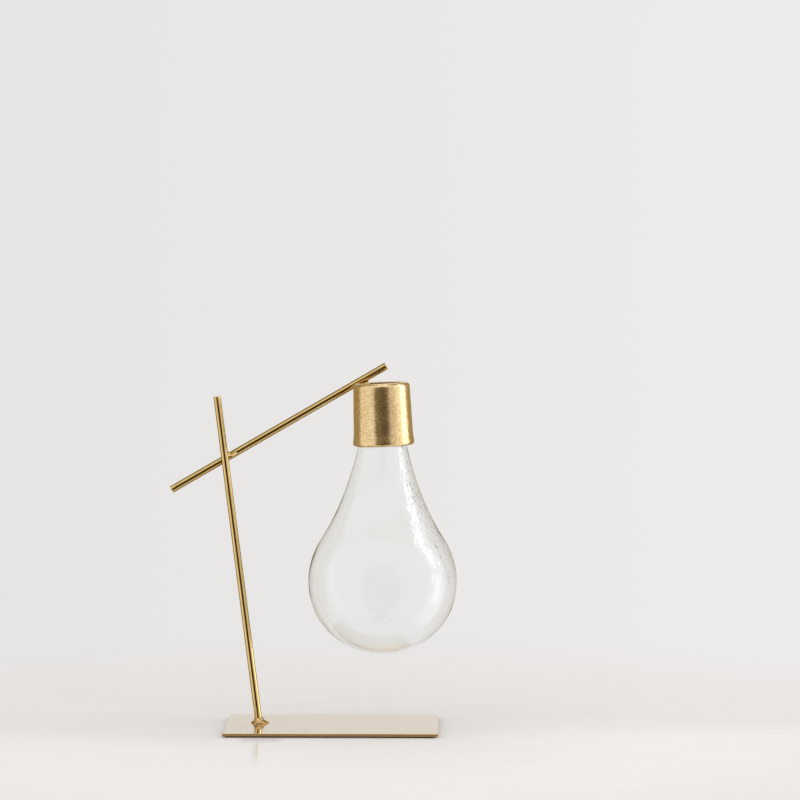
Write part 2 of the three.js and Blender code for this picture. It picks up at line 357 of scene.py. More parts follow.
@dataclass(frozen=True)
class LacquerFinish:
    """Gold lacquer over metal.

    The colour runs between two golds in fine flakes, the surface has a grain and a wider
    ripple, and the gloss varies a little. Each range is the part of a pattern's levels that is
    stretched over the whole change.
    """

    name: str
    deep: Colour
    pale: Colour
    roughness: float
    roughness_spread: float
    flake_size: float
    drift_size: float
    grain_size: float
    grain_depth: float
    ripple_size: float
    ripple_depth: float
    coat: float
    coat_roughness: float
    edge_tint: Colour
    metal: float = 1.0
    side: Colour | None = None
    side_range: Point = (0.25, 0.6)
    flake_weight: float = 0.45
    drift_weight: float = 0.55
    gold_range: Point = (0.15, 0.85)
    grains_to_cloud: float = 12.0
    flake_gloss: float = 0.35
    gloss_range: Point = (0.35, 1.0)

    def build(self) -> bpy.types.Material:
        """Makes the material.

        Returns:
            The finish.
        """
        material, graph, output = new_material(self.name)
        where = graph.out("ShaderNodeTexCoord", pick="Object")
        cells = {"Vector": where, "Scale": 1 / self.flake_size}
        flakes = graph.out("ShaderNodeTexVoronoi", cells, "Color")
        flake = graph.out("ShaderNodeSeparateColor", {"Color": flakes}, "Red")
        drift = graph.noise(where, self.drift_size, detail=3.0)
        flaked = graph.math("MULTIPLY", flake, self.flake_weight)
        share = graph.math("ADD", flaked, graph.math("MULTIPLY", drift, self.drift_weight))
        colour = graph.blend(graph.spread(share, *self.gold_range), self.deep, self.pale)
        # Painted shade: upright faces take the darker side colour, standing in for the dark front of the room
        # that they reflect.
        if self.side is not None:
            colour = graph.blend(self.on_sides(graph), colour, self.side)
        cloud = graph.noise(where, self.grains_to_cloud * self.grain_size, detail=2.0, shift=4.0)
        level = graph.math("ADD", cloud, graph.math("MULTIPLY", flake, self.flake_gloss))
        least = self.roughness - self.roughness_spread
        most = self.roughness + self.roughness_spread
        ripple = graph.noise(where, self.ripple_size, detail=1.0, shift=8.0)
        rippled = graph.bump(ripple, self.ripple_depth)
        grain = graph.noise(where, self.grain_size, detail=3.0, shift=2.0)
        shader = graph.out("ShaderNodeBsdfPrincipled", {
            "Base Color": colour, "Metallic": self.metal, "Specular Tint": self.edge_tint,
            "Roughness": graph.spread(level, *self.gloss_range, least, most),
            "Normal": graph.bump(grain, self.grain_depth, rippled),
            "Coat Weight": self.coat, "Coat Roughness": self.coat_roughness, "Coat Normal": rippled,
        })
        graph.feed(output.inputs["Surface"], shader)
        return material

    def on_sides(self, graph: NodeGraph) -> bpy.types.NodeSocket:
        """Is 1 on the piece's upright faces and 0 on its level ones."""
        normal = graph.parts(graph.out("ShaderNodeTexCoord", pick="Normal"))
        return graph.spread(graph.math("ABSOLUTE", normal["Z"]), *self.side_range, 1.0, 0.0, smooth=True)


@dataclass(frozen=True)
class GlassFinish:
    """Clear blown glass, a little green through its depth, with waves, ripples and hand marks.

    The ripples are strongest on the right by the neck. They fade out to the left, downwards and
    where the wall faces sideways. Each pair is a place, or how far the wall faces the front or
    the back, and the ripples' share of their full depth there.
    """

    name: str = "clear_blown_glass"
    refraction: float = 1.5
    tint: Colour = (0.62, 0.74, 0.66, 1.0)
    tint_density: float = 22.0
    wave_size: float = 14 * MM
    wave_depth: float = 0.06 * MM
    drawn_out: float = 0.55
    ripple_size: float = 3.6 * MM
    ripple_depth: float = 0.44 * MM
    ripple_left: Point = (20 * MM, 0.12)
    ripple_right: Point = (40 * MM, 1.0)
    ripple_shoulder: Point = (110 * MM, 1.0)
    ripple_neck: Point = (124 * MM, 1.7)
    ripple_side: Point = (0.12, 0.1)
    ripple_front: Point = (0.45, 1.0)
    ripple_low: Point = (66 * MM, 0.05)
    ripple_high: Point = (98 * MM, 1.0)
    mark_size: float = 22 * MM
    mark_range: Point = (0.55, 0.8)
    mark_roughness: float = 0.035

    def build(self) -> bpy.types.Material:
        """Makes the material.

        Returns:
            The finish.
        """
        material, graph, output = new_material(self.name)
        where = graph.out("ShaderNodeTexCoord", pick="Object")
        waved = graph.bump(graph.noise(where, self.wave_size), self.wave_depth)
        marks = graph.noise(where, self.mark_size, detail=4.0, shift=3.0)
        shader = graph.out("ShaderNodeBsdfPrincipled", {
            "Base Color": (1.0, 1.0, 1.0, 1.0), "IOR": self.refraction, "Transmission Weight": 1.0,
            "Roughness": graph.spread(marks, *self.mark_range, 0.0, self.mark_roughness),
            "Normal": graph.bump(self.ripple(graph, where), self.ripple_depth, waved),
        })
        depth = graph.out("ShaderNodeVolumeAbsorption", {"Color": self.tint, "Density": self.tint_density})
        graph.feed(output.inputs["Surface"], shader)
        graph.feed(output.inputs["Volume"], depth)
        return material

    def ripple(self, graph: NodeGraph, where: Feed) -> bpy.types.NodeSocket:
        """Works out the ripples' height at each point.

        Args:
            graph: the material's graph.
            where: the point.

        Returns:
            The height, as a share of the full depth.
        """
        drawn = graph.out("ShaderNodeMapping", {"Vector": where, "Scale": (1.0, 1.0, self.drawn_out)})
        height = graph.noise(drawn, self.ripple_size, detail=2.0, shift=9.0)
        place = graph.parts(where)
        normal = graph.parts(graph.out("ShaderNodeTexCoord", pick="Normal"))
        for along, start, end in (
            (place["X"], self.ripple_left, self.ripple_right),
            (place["Z"], self.ripple_low, self.ripple_high),
            (place["Z"], self.ripple_shoulder, self.ripple_neck),
            (graph.math("ABSOLUTE", normal["Y"]), self.ripple_side, self.ripple_front),
        ):
            share = graph.spread(along, start[0], end[0], start[1], end[1], smooth=True)
            height = graph.math("MULTIPLY", height, share)
        return height


@dataclass(frozen=True)
class SoftFinish:
    """Foam, moulded plastic or silicone: two close colours, a fine surface and some depth.

    Each range is the part of a pattern's levels that is stretched over the whole change.
    """

    name: str
    dark: Colour
    light: Colour
    roughness: float
    pore_size: float
    pore_depth: float
    depth_weight: float = 0.0
    depth: float = 0.5 * MM
    pores_to_cloud: float = 8.0
    pore_range: Point = (0.0, 0.6)
    cloud_range: Point = (0.2, 0.8)
    cloud_least: float = 0.5
    gloss_range: Point = (0.3, 0.7)
    roughness_spread: float = 0.06

    def build(self) -> bpy.types.Material:
        """Makes the material.

        Returns:
            The finish.
        """
        material, graph, output = new_material(self.name)
        where = graph.out("ShaderNodeTexCoord", pick="Object")
        cells = {"Vector": where, "Scale": 1 / self.pore_size}
        pores = graph.out("ShaderNodeTexVoronoi", cells, "Distance")
        cloud = graph.noise(where, self.pores_to_cloud * self.pore_size, detail=3.0)
        clouded = graph.spread(cloud, *self.cloud_range, self.cloud_least, 1.0)
        share = graph.math("MULTIPLY", graph.spread(pores, *self.pore_range), clouded)
        least = self.roughness - self.roughness_spread
        most = self.roughness + self.roughness_spread
        shader = graph.out("ShaderNodeBsdfPrincipled", {
            "Base Color": graph.blend(share, self.dark, self.light),
            "Roughness": graph.spread(cloud, *self.gloss_range, least, most),
            "Normal": graph.bump(pores, self.pore_depth),
            "Subsurface Weight": self.depth_weight, "Subsurface Scale": self.depth,
        })
        graph.feed(output.inputs["Surface"], shader)
        return material


# The plate's side colour is painted shade on its upright edges.
PLATE_LACQUER = LacquerFinish(
    name="plate_gold_lacquer", deep=srgb(196, 156, 98), pale=srgb(226, 198, 146), roughness=0.16,
    roughness_spread=0.04, flake_size=0.3 * MM, drift_size=12 * MM, grain_size=0.35 * MM,
    grain_depth=0.003 * MM, ripple_size=9 * MM, ripple_depth=0.02 * MM, coat=1.0, coat_roughness=0.06,
    edge_tint=(1.0, 1.0, 1.0, 1.0), metal=0.85, side=srgb(160, 124, 64),
)
ROD_LACQUER = LacquerFinish(
    name="rod_gold_lacquer", deep=srgb(194, 162, 98), pale=srgb(224, 198, 140), roughness=0.09,
    roughness_spread=0.02, flake_size=0.25 * MM, drift_size=10 * MM, grain_size=0.3 * MM,
    grain_depth=0.0007 * MM, ripple_size=14 * MM, ripple_depth=0.006 * MM, coat=0.0,
    coat_roughness=0.06, edge_tint=(0.35, 0.27, 0.12, 1.0),
)
WELD_LACQUER = LacquerFinish(
    name="weld_gold_lacquer", deep=srgb(160, 120, 60), pale=srgb(234, 206, 148), roughness=0.16,
    roughness_spread=0.05, flake_size=0.25 * MM, drift_size=2 * MM, grain_size=0.6 * MM,
    grain_depth=0.02 * MM, ripple_size=1.8 * MM, ripple_depth=0.04 * MM, coat=0.3,
    coat_roughness=0.12, edge_tint=(0.6, 0.5, 0.3, 1.0),
)
# Painted shade: the collar's weld is lacquered much darker and duller than the other welds, standing in for
# the shadow in the wedge under the arm.
SHADE_DARKENED_WELD_LACQUER = replace(
    WELD_LACQUER, name="shade_darkened_gold_lacquer", deep=srgb(92, 66, 34), pale=srgb(166, 132, 74),
    roughness=0.3, roughness_spread=0.07, coat=0.2, edge_tint=(0.5, 0.4, 0.25, 1.0),
)
COLLAR_LACQUER = LacquerFinish(
    name="collar_gold_lacquer", deep=srgb(186, 148, 86), pale=srgb(244, 220, 172), roughness=0.22,
    roughness_spread=0.04, flake_size=0.6 * MM, drift_size=22 * MM, grain_size=0.6 * MM,
    grain_depth=0.026 * MM, ripple_size=5 * MM, ripple_depth=0.015 * MM, coat=0.4,
    coat_roughness=0.18, edge_tint=(1.0, 0.9, 0.7, 1.0), metal=0.92,
)
SHEET_FOAM = SoftFinish(
    name="black_foam", dark=srgb(18, 17, 17), light=srgb(56, 54, 52), roughness=0.9,
    pore_size=0.35 * MM, pore_depth=0.08 * MM,
)
LINER_PLASTIC = SoftFinish(
    name="natural_plastic", dark=srgb(214, 210, 198), light=srgb(234, 231, 221), roughness=0.45,
    pore_size=0.9 * MM, pore_depth=0.004 * MM, depth_weight=0.25,
)
SEAL_SILICONE = SoftFinish(
    name="clear_silicone", dark=srgb(222, 222, 218), light=srgb(244, 244, 241), roughness=0.5,
    pore_size=0.7 * MM, pore_depth=0.003 * MM, depth_weight=0.5,
)


# Outlines. A point is a radius and a height, and an outline adds how far the wall may wander in.


def arc(centre: Point, radius: float, start: float, end: float, steps: int) -> list[Point]:
    """Points on an arc between two angles in degrees, both ends included."""
    angles = [math.radians(start + (end - start) * i / steps) for i in range(steps + 1)]
    return [(centre[0] + radius * math.cos(a), centre[1] + radius * math.sin(a)) for a in angles]


def straight(start: Point, end: Point, step: float) -> list[Point]:
    """Points from start to end, about a step apart, both ends included."""
    count = max(1, round(math.dist(start, end) / step))
    return [tuple(a + (b - a) * i / count for a, b in zip(start, end)) for i in range(count + 1)]


def bezier(start: Point, first: Point, second: Point, end: Point, steps: int) -> list[Point]:
    """Works out points on a cubic curve, both ends included.

    Args:
        start: where the curve starts.
        first: the handle that it leaves its start towards.
        second: the handle that it reaches its end from.
        end: where it ends.
        steps: how many stretches it gets.

    Returns:
        The points.
    """
    points = []
    for i in range(steps + 1):
        t = i / steps
        weights = ((1 - t) ** 3, 3 * t * (1 - t) ** 2, 3 * t * t * (1 - t), t ** 3)
        corners = (start, first, second, end)
        points.append(tuple(sum(w * corner[k] for w, corner in zip(weights, corners)) for k in range(2)))
    return points


def without_repeats(points: Sequence[Point]) -> list[Point]:
    """Drops each point that lies on the one before it.

    Args:
        points: an outline's points.

    Returns:
        The points that are left.
    """
    kept = [points[0]]
    for point in points[1:]:
        if math.dist(point, kept[-1]) > TINY:
            kept.append(point)
    return kept


def offset(points: Sequence[Point], distance: float) -> list[Point]:
    """Moves an outline to its left. A point on the axis stays on it.

    Args:
        points: the outline's points.
        distance: how far it moves.

    Returns:
        The moved points.
    """
    moved = []
    for i, (radius, height) in enumerate(points):
        before = points[max(i - 1, 0)]
        after = points[min(i + 1, len(points) - 1)]
        length = math.dist(before, after)
        along = ((after[0] - before[0]) / length, (after[1] - before[1]) / length)
        if radius < TINY:
            moved.append((0.0, height + distance))
        else:
            moved.append((radius - along[1] * distance, height + along[0] * distance))
    return moved


def outline(points: Sequence[Point], wander: float = 0.0) -> Outline:
    """Gives every point of an outline the same wander."""
    return [(radius, wander, height) for radius, height in without_repeats(points)]


@dataclass(frozen=True)
class Thread:
    """A screw ridge on the wall of a given radius. A negative height stands inwards.

    The ridge has its full height up to crest from its middle and ends at base, and it fades in
    and out over a part of a turn. Without values it stands on no wall.
    """

    wall: float = -1.0
    height: float = 0.0
    start: float = 0.0
    pitch: float = 4 * MM
    turns: float = 2.0
    base: float = 1.1 * MM
    crest: float = 0.54 * MM
    fade: float = 0.125


@dataclass(frozen=True)
class Dent:
    """A shallow dent in a wall, in the outline's own frame. Without values there is none."""

    centre: Place = (0.0, 0.0, 0.0)
    reach: float = 1.0
    depth: float = 0.0


class TurnedShape:
    """Turns outlines about an axis. One Geometry Nodes tree makes every round piece."""

    crease: float = math.radians(38)
    wander_range: Point = (0.25, 0.75)

    def __init__(self) -> None:
        """Builds the tree."""
        self.graph = ShapeTree("turned_shape")
        self.build_tree()

    def build_tree(self) -> None:
        """Adds the nodes: a grid takes the outline's points, and each column is turned."""
        g = self.graph
        source = g.entry.outputs["Geometry"]
        sides = g.take("Sides", "NodeSocketInt")
        wander_size = g.take("Wander Size")
        seed = g.take("Seed")
        count = g.out("GeometryNodeAttributeDomainSize", {"Geometry": source}, "Point Count")
        columns = g.math("ADD", sides, 1)
        grid = g.out("GeometryNodeMeshGrid", {
            "Size X": 1.0, "Size Y": 1.0, "Vertices X": count, "Vertices Y": columns,
        })
        index = g.out("GeometryNodeInputIndex")
        # The half keeps each division clear of the step to the next row.
        row = g.math("FLOOR", g.math("DIVIDE", g.math("ADD", index, 0.5), columns))
        turn = g.math("DIVIDE", g.math("SUBTRACT", index, g.math("MULTIPLY", row, columns)), sides)
        place = g.out("GeometryNodeInputPosition")
        sample = g.out("GeometryNodeSampleIndex", {"Geometry": source, "Value": place, "Index": row},
                       data_type="FLOAT_VECTOR", domain="POINT")
        point = g.parts(sample)
        wander, height = point["Y"], point["Z"]
        radius = g.math("ADD", point["X"], self.ridge(point["X"], height, turn))
        angle = g.math("MULTIPLY", turn, math.tau)
        across = g.out("ShaderNodeCombineXYZ", {"X": g.math("COSINE", angle), "Y": g.math("SINE", angle)})
        lift = g.out("ShaderNodeCombineXYZ", {"Z": height})
        here = g.vector("ADD", g.vector("SCALE", across, radius), lift)
        scale = g.math("DIVIDE", 1.0, wander_size)
        level = g.out("ShaderNodeTexNoise", {"Vector": here, "W": seed, "Scale": scale, "Detail": 1.0},
                      noise_dimensions="4D")
        inwards = g.math("MULTIPLY", wander, g.spread(level, *self.wander_range))
        inwards = g.math("ADD", inwards, self.dent(here))
        inwards = g.math("MINIMUM", inwards, radius)
        here = g.vector("SUBTRACT", here, g.vector("SCALE", across, inwards))
        shaped = g.out("GeometryNodeSetPosition", {"Geometry": grid, "Position": here})
        joined = g.out("GeometryNodeMergeByDistance", {"Geometry": shaped, "Distance": TOUCHING})
        outwards = g.out("GeometryNodeFlipFaces", {"Mesh": joined})
        placed = g.out("GeometryNodeTransform", {
            "Geometry": outwards,
            "Translation": g.take("Place", "NodeSocketVector"),
            "Rotation": g.take("Lean", "NodeSocketRotation"),
        })
        g.finish(placed, self.crease, g.take("Finish", "NodeSocketMaterial"))

    def ridge(self, radius: Feed, height: Feed, turn: Feed) -> bpy.types.NodeSocket:
        """Works out how far the screw ridge stands off the wall at each point.

        Args:
            radius: the outline's radius there.
            height: its height there.
            turn: how far round the point lies, from 0 to 1.

        Returns:
            The ridge's height.
        """
        g = self.graph
        wall, rise, start, pitch, turns, base, crest, fade = (
            g.take(f"Thread {field.name.title()}") for field in fields(Thread)
        )
        climbed = g.math("SUBTRACT", g.math("DIVIDE", g.math("SUBTRACT", height, start), pitch), turn)
        whole = g.math("ROUND", climbed)
        along = g.math("ADD", turn, whole)
        away = g.math("MULTIPLY", g.math("ABSOLUTE", g.math("SUBTRACT", climbed, whole)), pitch)
        section = g.spread(away, crest, base, 1.0, 0.0, smooth=True)
        from_end = g.math("MINIMUM", along, g.math("SUBTRACT", turns, along))
        fading = g.spread(from_end, 0.0, fade, smooth=True)
        off_wall = g.math("ABSOLUTE", g.math("SUBTRACT", radius, wall))
        on_wall = g.math("LESS_THAN", off_wall, TOUCHING)
        return g.math("MULTIPLY", g.math("MULTIPLY", rise, section), g.math("MULTIPLY", fading, on_wall))

    def dent(self, here: Feed) -> bpy.types.NodeSocket:
        """Works out how deep the dent is at each point.

        Args:
            here: the point on the wall.

        Returns:
            The dent's depth.
        """
        g = self.graph
        centre = g.take("Dent Centre", "NodeSocketVector")
        reach = g.take("Dent Reach")
        depth = g.take("Dent Depth")
        distance = g.vector("DISTANCE", here, centre, pick="Value")
        return g.spread(distance, 0.0, reach, depth, 0.0, smooth=True)

    def make(self, name: str, points: Outline, sides: int, finish: bpy.types.Material, place: Vector,
             lean: float = 0.0, wander_size: float = 20 * MM, seed: float = 0.0,
             thread: Thread = Thread(), dent: Dent = Dent()) -> bpy.types.Object:
        """Turns one outline.

        Args:
            name: the piece's name.
            points: the outline, anticlockwise, from the axis or closed on itself.
            sides: how many faces go round.
            finish: the piece's material.
            place: where the outline's origin goes.
            lean: turn about +Y after turning the outline, in radians.
            wander_size: size of the unevenness.
            seed: picks the unevenness.
            thread: a screw ridge on one of the walls.
            dent: a dent in the wall.

        Returns:
            The piece as a plain mesh.
        """
        return self.graph.run(name, line_mesh(name, points), {
            "Sides": sides,
            "Wander Size": wander_size,
            "Seed": seed,
            **{f"Thread {part.title()}": value for part, value in asdict(thread).items()},
            **{f"Dent {part.title()}": value for part, value in asdict(dent).items()},
            "Place": tuple(place),
            "Lean": (0.0, lean, 0.0),
            "Finish": finish,
        })


@dataclass(frozen=True)
class Rod:
    """The axis of a round bar: its two end centres and its radius."""

    low: Vector
    high: Vector
    radius: float

    @property
    def along(self) -> Vector:
        """The direction from the low end to the high end."""
        return (self.high - self.low).normalized()

    def at(self, distance: float) -> Vector:
        """The point on the axis that far from the low end."""
        return self.low + self.along * distance

    def nearest(self, point: Vector) -> float:
        """How far along the axis it passes closest to a point."""
        return (point - self.low).dot(self.along)


@dataclass(frozen=True)
class Bead:
    """How the metal of one weld is laid.

    The blobs' mean radius is blob where the seam starts and taper times that where it ends. They
    stand spacing radii apart and differ by the share uneven. Rough is the depth of the metal's
    own roughness, grain how fine it is modelled, and flow how far it runs into the corners.
    """

    seed: int
    blob: float
    taper: float
    rough: float
    spacing: float
    uneven: float
    grain: float = 0.13 * MM
    flow: int = 9


class WeldShape:
    """Lays weld metal along a seam. One Geometry Nodes tree makes every weld.

    Blobs of uneven size are strung along the seam, fused with stubs of the rods that run
    through it, and smoothed until the metal flows into the rods. The stubs are a little thinner
    than the rods, so that they stay hidden inside them.
    """

    crease: float = math.radians(60)
    stub_sink: float = 0.06 * MM
    stub_sides: int = 48
    blob_cuts: int = 4
    grains_deep: float = 2.0
    skin_threshold: float = 0.3
    lump_size: float = 1.3 * MM

    def __init__(self) -> None:
        """Builds the tree."""
        self.graph = ShapeTree("weld_shape")
        self.build_tree()

    def build_tree(self) -> None:
        """Adds the nodes: blobs along the seam, one skin over all, then flow and roughness."""
        g = self.graph
        blobs = self.blobs()
        grain = g.take("Grain")
        join = g.add("GeometryNodeJoinGeometry")
        for part in (blobs, self.stub("First"), self.stub("Second")):
            g.tree.links.new(part, join.inputs["Geometry"])
        cloud = g.out("GeometryNodeMeshToVolume", {
            "Mesh": join.outputs["Geometry"], "Density": 1.0, "Voxel Size": grain,
            "Interior Band Width": g.math("MULTIPLY", grain, self.grains_deep),
        }, resolution_mode="VOXEL_SIZE")
        skin = g.out("GeometryNodeVolumeToMesh", {
            "Volume": cloud, "Voxel Size": grain, "Threshold": self.skin_threshold,
        }, resolution_mode="VOXEL_SIZE")
        place = g.out("GeometryNodeInputPosition")
        flowed = g.out("GeometryNodeBlurAttribute", {
            "Value": place, "Iterations": g.take("Flow", "NodeSocketInt"), "Weight": 1.0,
        }, data_type="FLOAT_VECTOR")
        smooth = g.out("GeometryNodeSetPosition", {"Geometry": skin, "Position": flowed})
        level = g.noise(place, self.lump_size, detail=3.0)
        rise = g.math("MULTIPLY", g.math("SUBTRACT", level, 0.5), g.take("Roughness Depth"))
        out_of_face = g.out("GeometryNodeInputNormal")
        rough = g.out("GeometryNodeSetPosition", {
            "Geometry": smooth, "Offset": g.vector("SCALE", out_of_face, rise),
        })
        point = g.parts(place)
        above_floor = g.math("MAXIMUM", point["Z"], g.take("Floor Height"))
        held = g.out("ShaderNodeCombineXYZ", {"X": point["X"], "Y": point["Y"], "Z": above_floor})
        seated = g.out("GeometryNodeSetPosition", {"Geometry": rough, "Position": held})
        g.finish(seated, self.crease, g.take("Finish", "NodeSocketMaterial"))

    def blobs(self) -> bpy.types.NodeSocket:
        """Adds the balls of uneven size along the seam.

        Returns:
            The balls' mesh.
        """
        g = self.graph
        seed = g.take("Seed", "NodeSocketInt")
        blob = g.take("Blob Radius")
        spacing = g.take("Blob Spacing")
        uneven = g.take("Blob Unevenness")
        taper = g.take("Blob Taper")
        seam = g.out("GeometryNodeMeshToCurve", {"Mesh": g.entry.outputs["Geometry"]})
        beads = g.out("GeometryNodeResampleCurve", {"Curve": seam, "Length": spacing}, mode="LENGTH")
        least = g.math("SUBTRACT", 1.0, uneven)
        most = g.math("ADD", 1.0, uneven)
        size = g.out("FunctionNodeRandomValue", {"Min": least, "Max": most, "Seed": seed}, data_type="FLOAT")
        along = g.out("GeometryNodeSplineParameter", pick="Factor")
        size = g.math("MULTIPLY", size, g.spread(along, 0.0, 1.0, 1.0, taper))
        ball = g.out("GeometryNodeMeshIcoSphere", {"Radius": blob, "Subdivisions": self.blob_cuts})
        strung = g.out("GeometryNodeInstanceOnPoints", {"Points": beads, "Instance": ball, "Scale": size})
        return g.out("GeometryNodeRealizeInstances", {"Geometry": strung})

    def stub(self, which: str) -> bpy.types.NodeSocket:
        """Adds a short length of one rod, for the weld metal to flow into.

        Args:
            which: the rod, First or Second.

        Returns:
            The stub's mesh.
        """
        g = self.graph
        line = g.out("GeometryNodeCurvePrimitiveLine", {
            "Start": g.take(f"{which} Stub Start", "NodeSocketVector"),
            "End": g.take(f"{which} Stub End", "NodeSocketVector"),
        })
        ring = g.out("GeometryNodeCurvePrimitiveCircle", {
            "Resolution": self.stub_sides, "Radius": g.take(f"{which} Stub Radius"),
        })
        return g.out("GeometryNodeCurveToMesh", {"Curve": line, "Profile Curve": ring, "Fill Caps": True})

    def make(self, name: str, seam: Sequence[Vector], bead: Bead, stubs: tuple[Rod, Rod],
             finish: bpy.types.Material, floor: float = NO_FLOOR) -> bpy.types.Object:
        """Lays one weld.

        Args:
            name: the piece's name.
            seam: the points that the weld runs along.
            bead: how the metal is laid.
            stubs: the lengths of rod that it flows into.
            finish: the piece's material.
            floor: height below which no metal goes.

        Returns:
            The piece as a plain mesh.
        """
        ends = {}
        for which, rod in zip(("First", "Second"), stubs):
            ends[f"{which} Stub Start"] = tuple(rod.low)
            ends[f"{which} Stub End"] = tuple(rod.high)
            ends[f"{which} Stub Radius"] = rod.radius - self.stub_sink
        return self.graph.run(name, line_mesh(name, seam), {
            "Seed": bead.seed,
            "Blob Radius": bead.blob,
            "Blob Spacing": bead.blob * bead.spacing,
            "Blob Unevenness": bead.uneven,
            "Blob Taper": bead.taper,
            "Grain": bead.grain,
            "Flow": bead.flow,
            "Roughness Depth": bead.rough,
            "Floor Height": floor,
            "Finish": finish,
            **ends,
        })


# Pieces and the frame


def middle(node: str) -> Vector:
    """The centre of a node's box."""
    low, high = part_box(node)
    return (low + high) / 2


def on_axis(node: str, height: float) -> Vector:
    """The point above or below the centre of a node's box, at a height."""
    centre = middle(node)
    return Vector((centre.x, centre.y, height))


def dress(piece: bpy.types.Object, node: str, body: Body) -> None:
    """Lets a piece stand for a node, puts it on its body and reports it.

    Args:
        piece: the finished piece, in place.
        node: the node that it stands for.
        body: the body that carries it.
    """
    low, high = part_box(node)
    corners = [vertex.co for vertex in piece.data.vertices]
    reach = max(
        max(abs(min(c[k] for c in corners) - low[k]), abs(max(c[k] for c in corners) - high[k]))
        for k in range(3)
    )
    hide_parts(node)
    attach(piece, body.value)
    faces = sum(len(face.vertices) - 2 for face in piece.data.polygons)
    log.info("%s: %d triangles, box within %.2f mm of %s", piece.name, faces, reach / MM, node)


@dataclass
class Base:
    """The flat plate and the non-slip sheet under it.

    A face whose normal points up or down by at least level_from stays flat, and the rest is
    shaded smooth.
    """

    corner_radius: float = 0.6 * MM
    corner_steps: int = 6
    edge_round: float = 0.4 * MM
    edge_steps: int = 6
    foam_edge_round: float = 0.12 * MM
    level_from: float = 0.999

    def build(self) -> None:
        """Builds both pieces."""
        plate = self.slab("plate", "base_plate", self.edge_round, PLATE_LACQUER.build())
        dress(plate, "base_plate", Body.STAND)
        foam = self.slab("foam_sheet", "base_sheet", self.foam_edge_round, SHEET_FOAM.build())
        dress(foam, "base_sheet", Body.STAND)

    def slab(self, name: str, node: str, rounding: float, finish: bpy.types.Material) -> bpy.types.Object:
        """Builds a flat piece with rounded corners and edges in the space of its node.

        Args:
            name: the piece's name.
            node: the node that gives its size and place.
            rounding: radius of its long edges.
            finish: its material.

        Returns:
            The piece.
        """
        low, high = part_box(node)
        shape = bmesh.new()
        corners = [shape.verts.new((x, y, low.z)) for x, y in self.rim(low, high)]
        floor = shape.faces.new(corners)
        grown = bmesh.ops.extrude_face_region(shape, geom=[floor])["geom"]
        raised = [item for item in grown if isinstance(item, bmesh.types.BMVert)]
        bmesh.ops.translate(shape, vec=(0, 0, high.z - low.z), verts=raised)
        bmesh.ops.recalc_face_normals(shape, faces=shape.faces)
        level = [edge for edge in shape.edges if abs(edge.verts[0].co.z - edge.verts[1].co.z) < TINY]
        bmesh.ops.bevel(shape, geom=level, offset=rounding, segments=self.edge_steps, profile=0.5,
                        affect="EDGES")
        piece = add_shape(name, shape, finish)
        for face in piece.data.polygons:
            face.use_smooth = abs(face.normal.z) < self.level_from
        return piece

    def rim(self, low: Vector, high: Vector) -> list[Point]:
        """Works out a rectangle with rounded corners.

        Args:
            low: the lowest corner of its box.
            high: the highest one.

        Returns:
            The points round it.
        """
        inset = self.corner_radius
        centres = [
            (high.x - inset, low.y + inset, -90),
            (high.x - inset, high.y - inset, 0),
            (low.x + inset, high.y - inset, 90),
            (low.x + inset, low.y + inset, 180),
        ]
        return [
            point
            for x, y, start in centres
            for point in arc((x, y), inset, start, start + 90, self.corner_steps)
        ]


@dataclass
class Rods:
    """The leaning upright and the arm that crosses behind it.

    A corner of a rod's solid belongs to its top end if it lies no further than end_slack below
    the end.
    """

    turned: TurnedShape
    radius: float = 1.96 * MM
    chamfer: float = 0.25 * MM
    chamfer_steps: int = 3
    sides: int = 48
    ring_step: float = 3 * MM
    wander: float = 0.015 * MM
    wander_size: float = 9 * MM
    end_slack: float = 0.01 * MM
    upright_lean: float = math.radians(-7.15)
    upright_length: float = 178.9 * MM
    upright_seed: float = 1.0
    foot_sink: float = 0.5 * MM
    arm_lean: float = math.radians(60)
    arm_length: float = 134.47 * MM
    arm_seed: float = 2.0

    def __post_init__(self) -> None:
        """Finds both rods' axes in the frame."""
        self.upright = self.from_top("upright_rod", self.upright_lean, self.upright_length)
        self.arm = self.from_top("arm_rod", self.arm_lean, self.arm_length)

    def from_top(self, node: str, lean: float, length: float) -> Rod:
        """Finds a rod's axis from the end that is highest along it.

        Args:
            node: the rod's node.
            lean: the rod's turn about +Y from upright.
            length: the rod's length.

        Returns:
            The rod's axis.
        """
        along = Vector((math.sin(lean), 0.0, math.cos(lean)))
        corners = [vertex.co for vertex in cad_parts[node].data.vertices]
        top = max(corner.dot(along) for corner in corners)
        ring = [corner for corner in corners if top - corner.dot(along) < self.end_slack]
        high = Vector((max(c[k] for c in ring) + min(c[k] for c in ring)) / 2 for k in range(3))
        return Rod(high - along * length, high, self.radius)

    def build(self) -> None:
        """Builds both rods."""
        finish = ROD_LACQUER.build()
        upright = self.bar("upright", self.upright, self.upright_lean, self.foot_sink,
                           self.upright_seed, finish)
        dress(upright, "upright_rod", Body.STAND)
        arm = self.bar("arm", self.arm, self.arm_lean, 0.0, self.arm_seed, finish)
        dress(arm, "arm_rod", Body.STAND)

    def bar(self, name: str, rod: Rod, lean: float, sink: float, seed: float,
            finish: bpy.types.Material) -> bpy.types.Object:
        """Turns one bar with softly chamfered ends.

        Args:
            name: the piece's name.
            rod: its axis.
            lean: its turn about +Y.
            sink: how far its low end goes into what it stands on.
            seed: picks its unevenness.
            finish: its material.

        Returns:
            The piece.
        """
        length = (rod.high - rod.low).length
        inner = self.radius - self.chamfer
        low = arc((inner, self.chamfer - sink), self.chamfer, -90, 0, self.chamfer_steps)
        high = arc((inner, length - self.chamfer), self.chamfer, 0, 90, self.chamfer_steps)
        shaft = straight(low[-1], high[0], self.ring_step)
        points = [(0.0, -sink), *low, *shaft, *high, (0.0, length)]
        return self.turned.make(
            name, outline(points, self.wander), self.sides, finish, rod.low, lean=lean,
            wander_size=self.wander_size, seed=seed,
        )


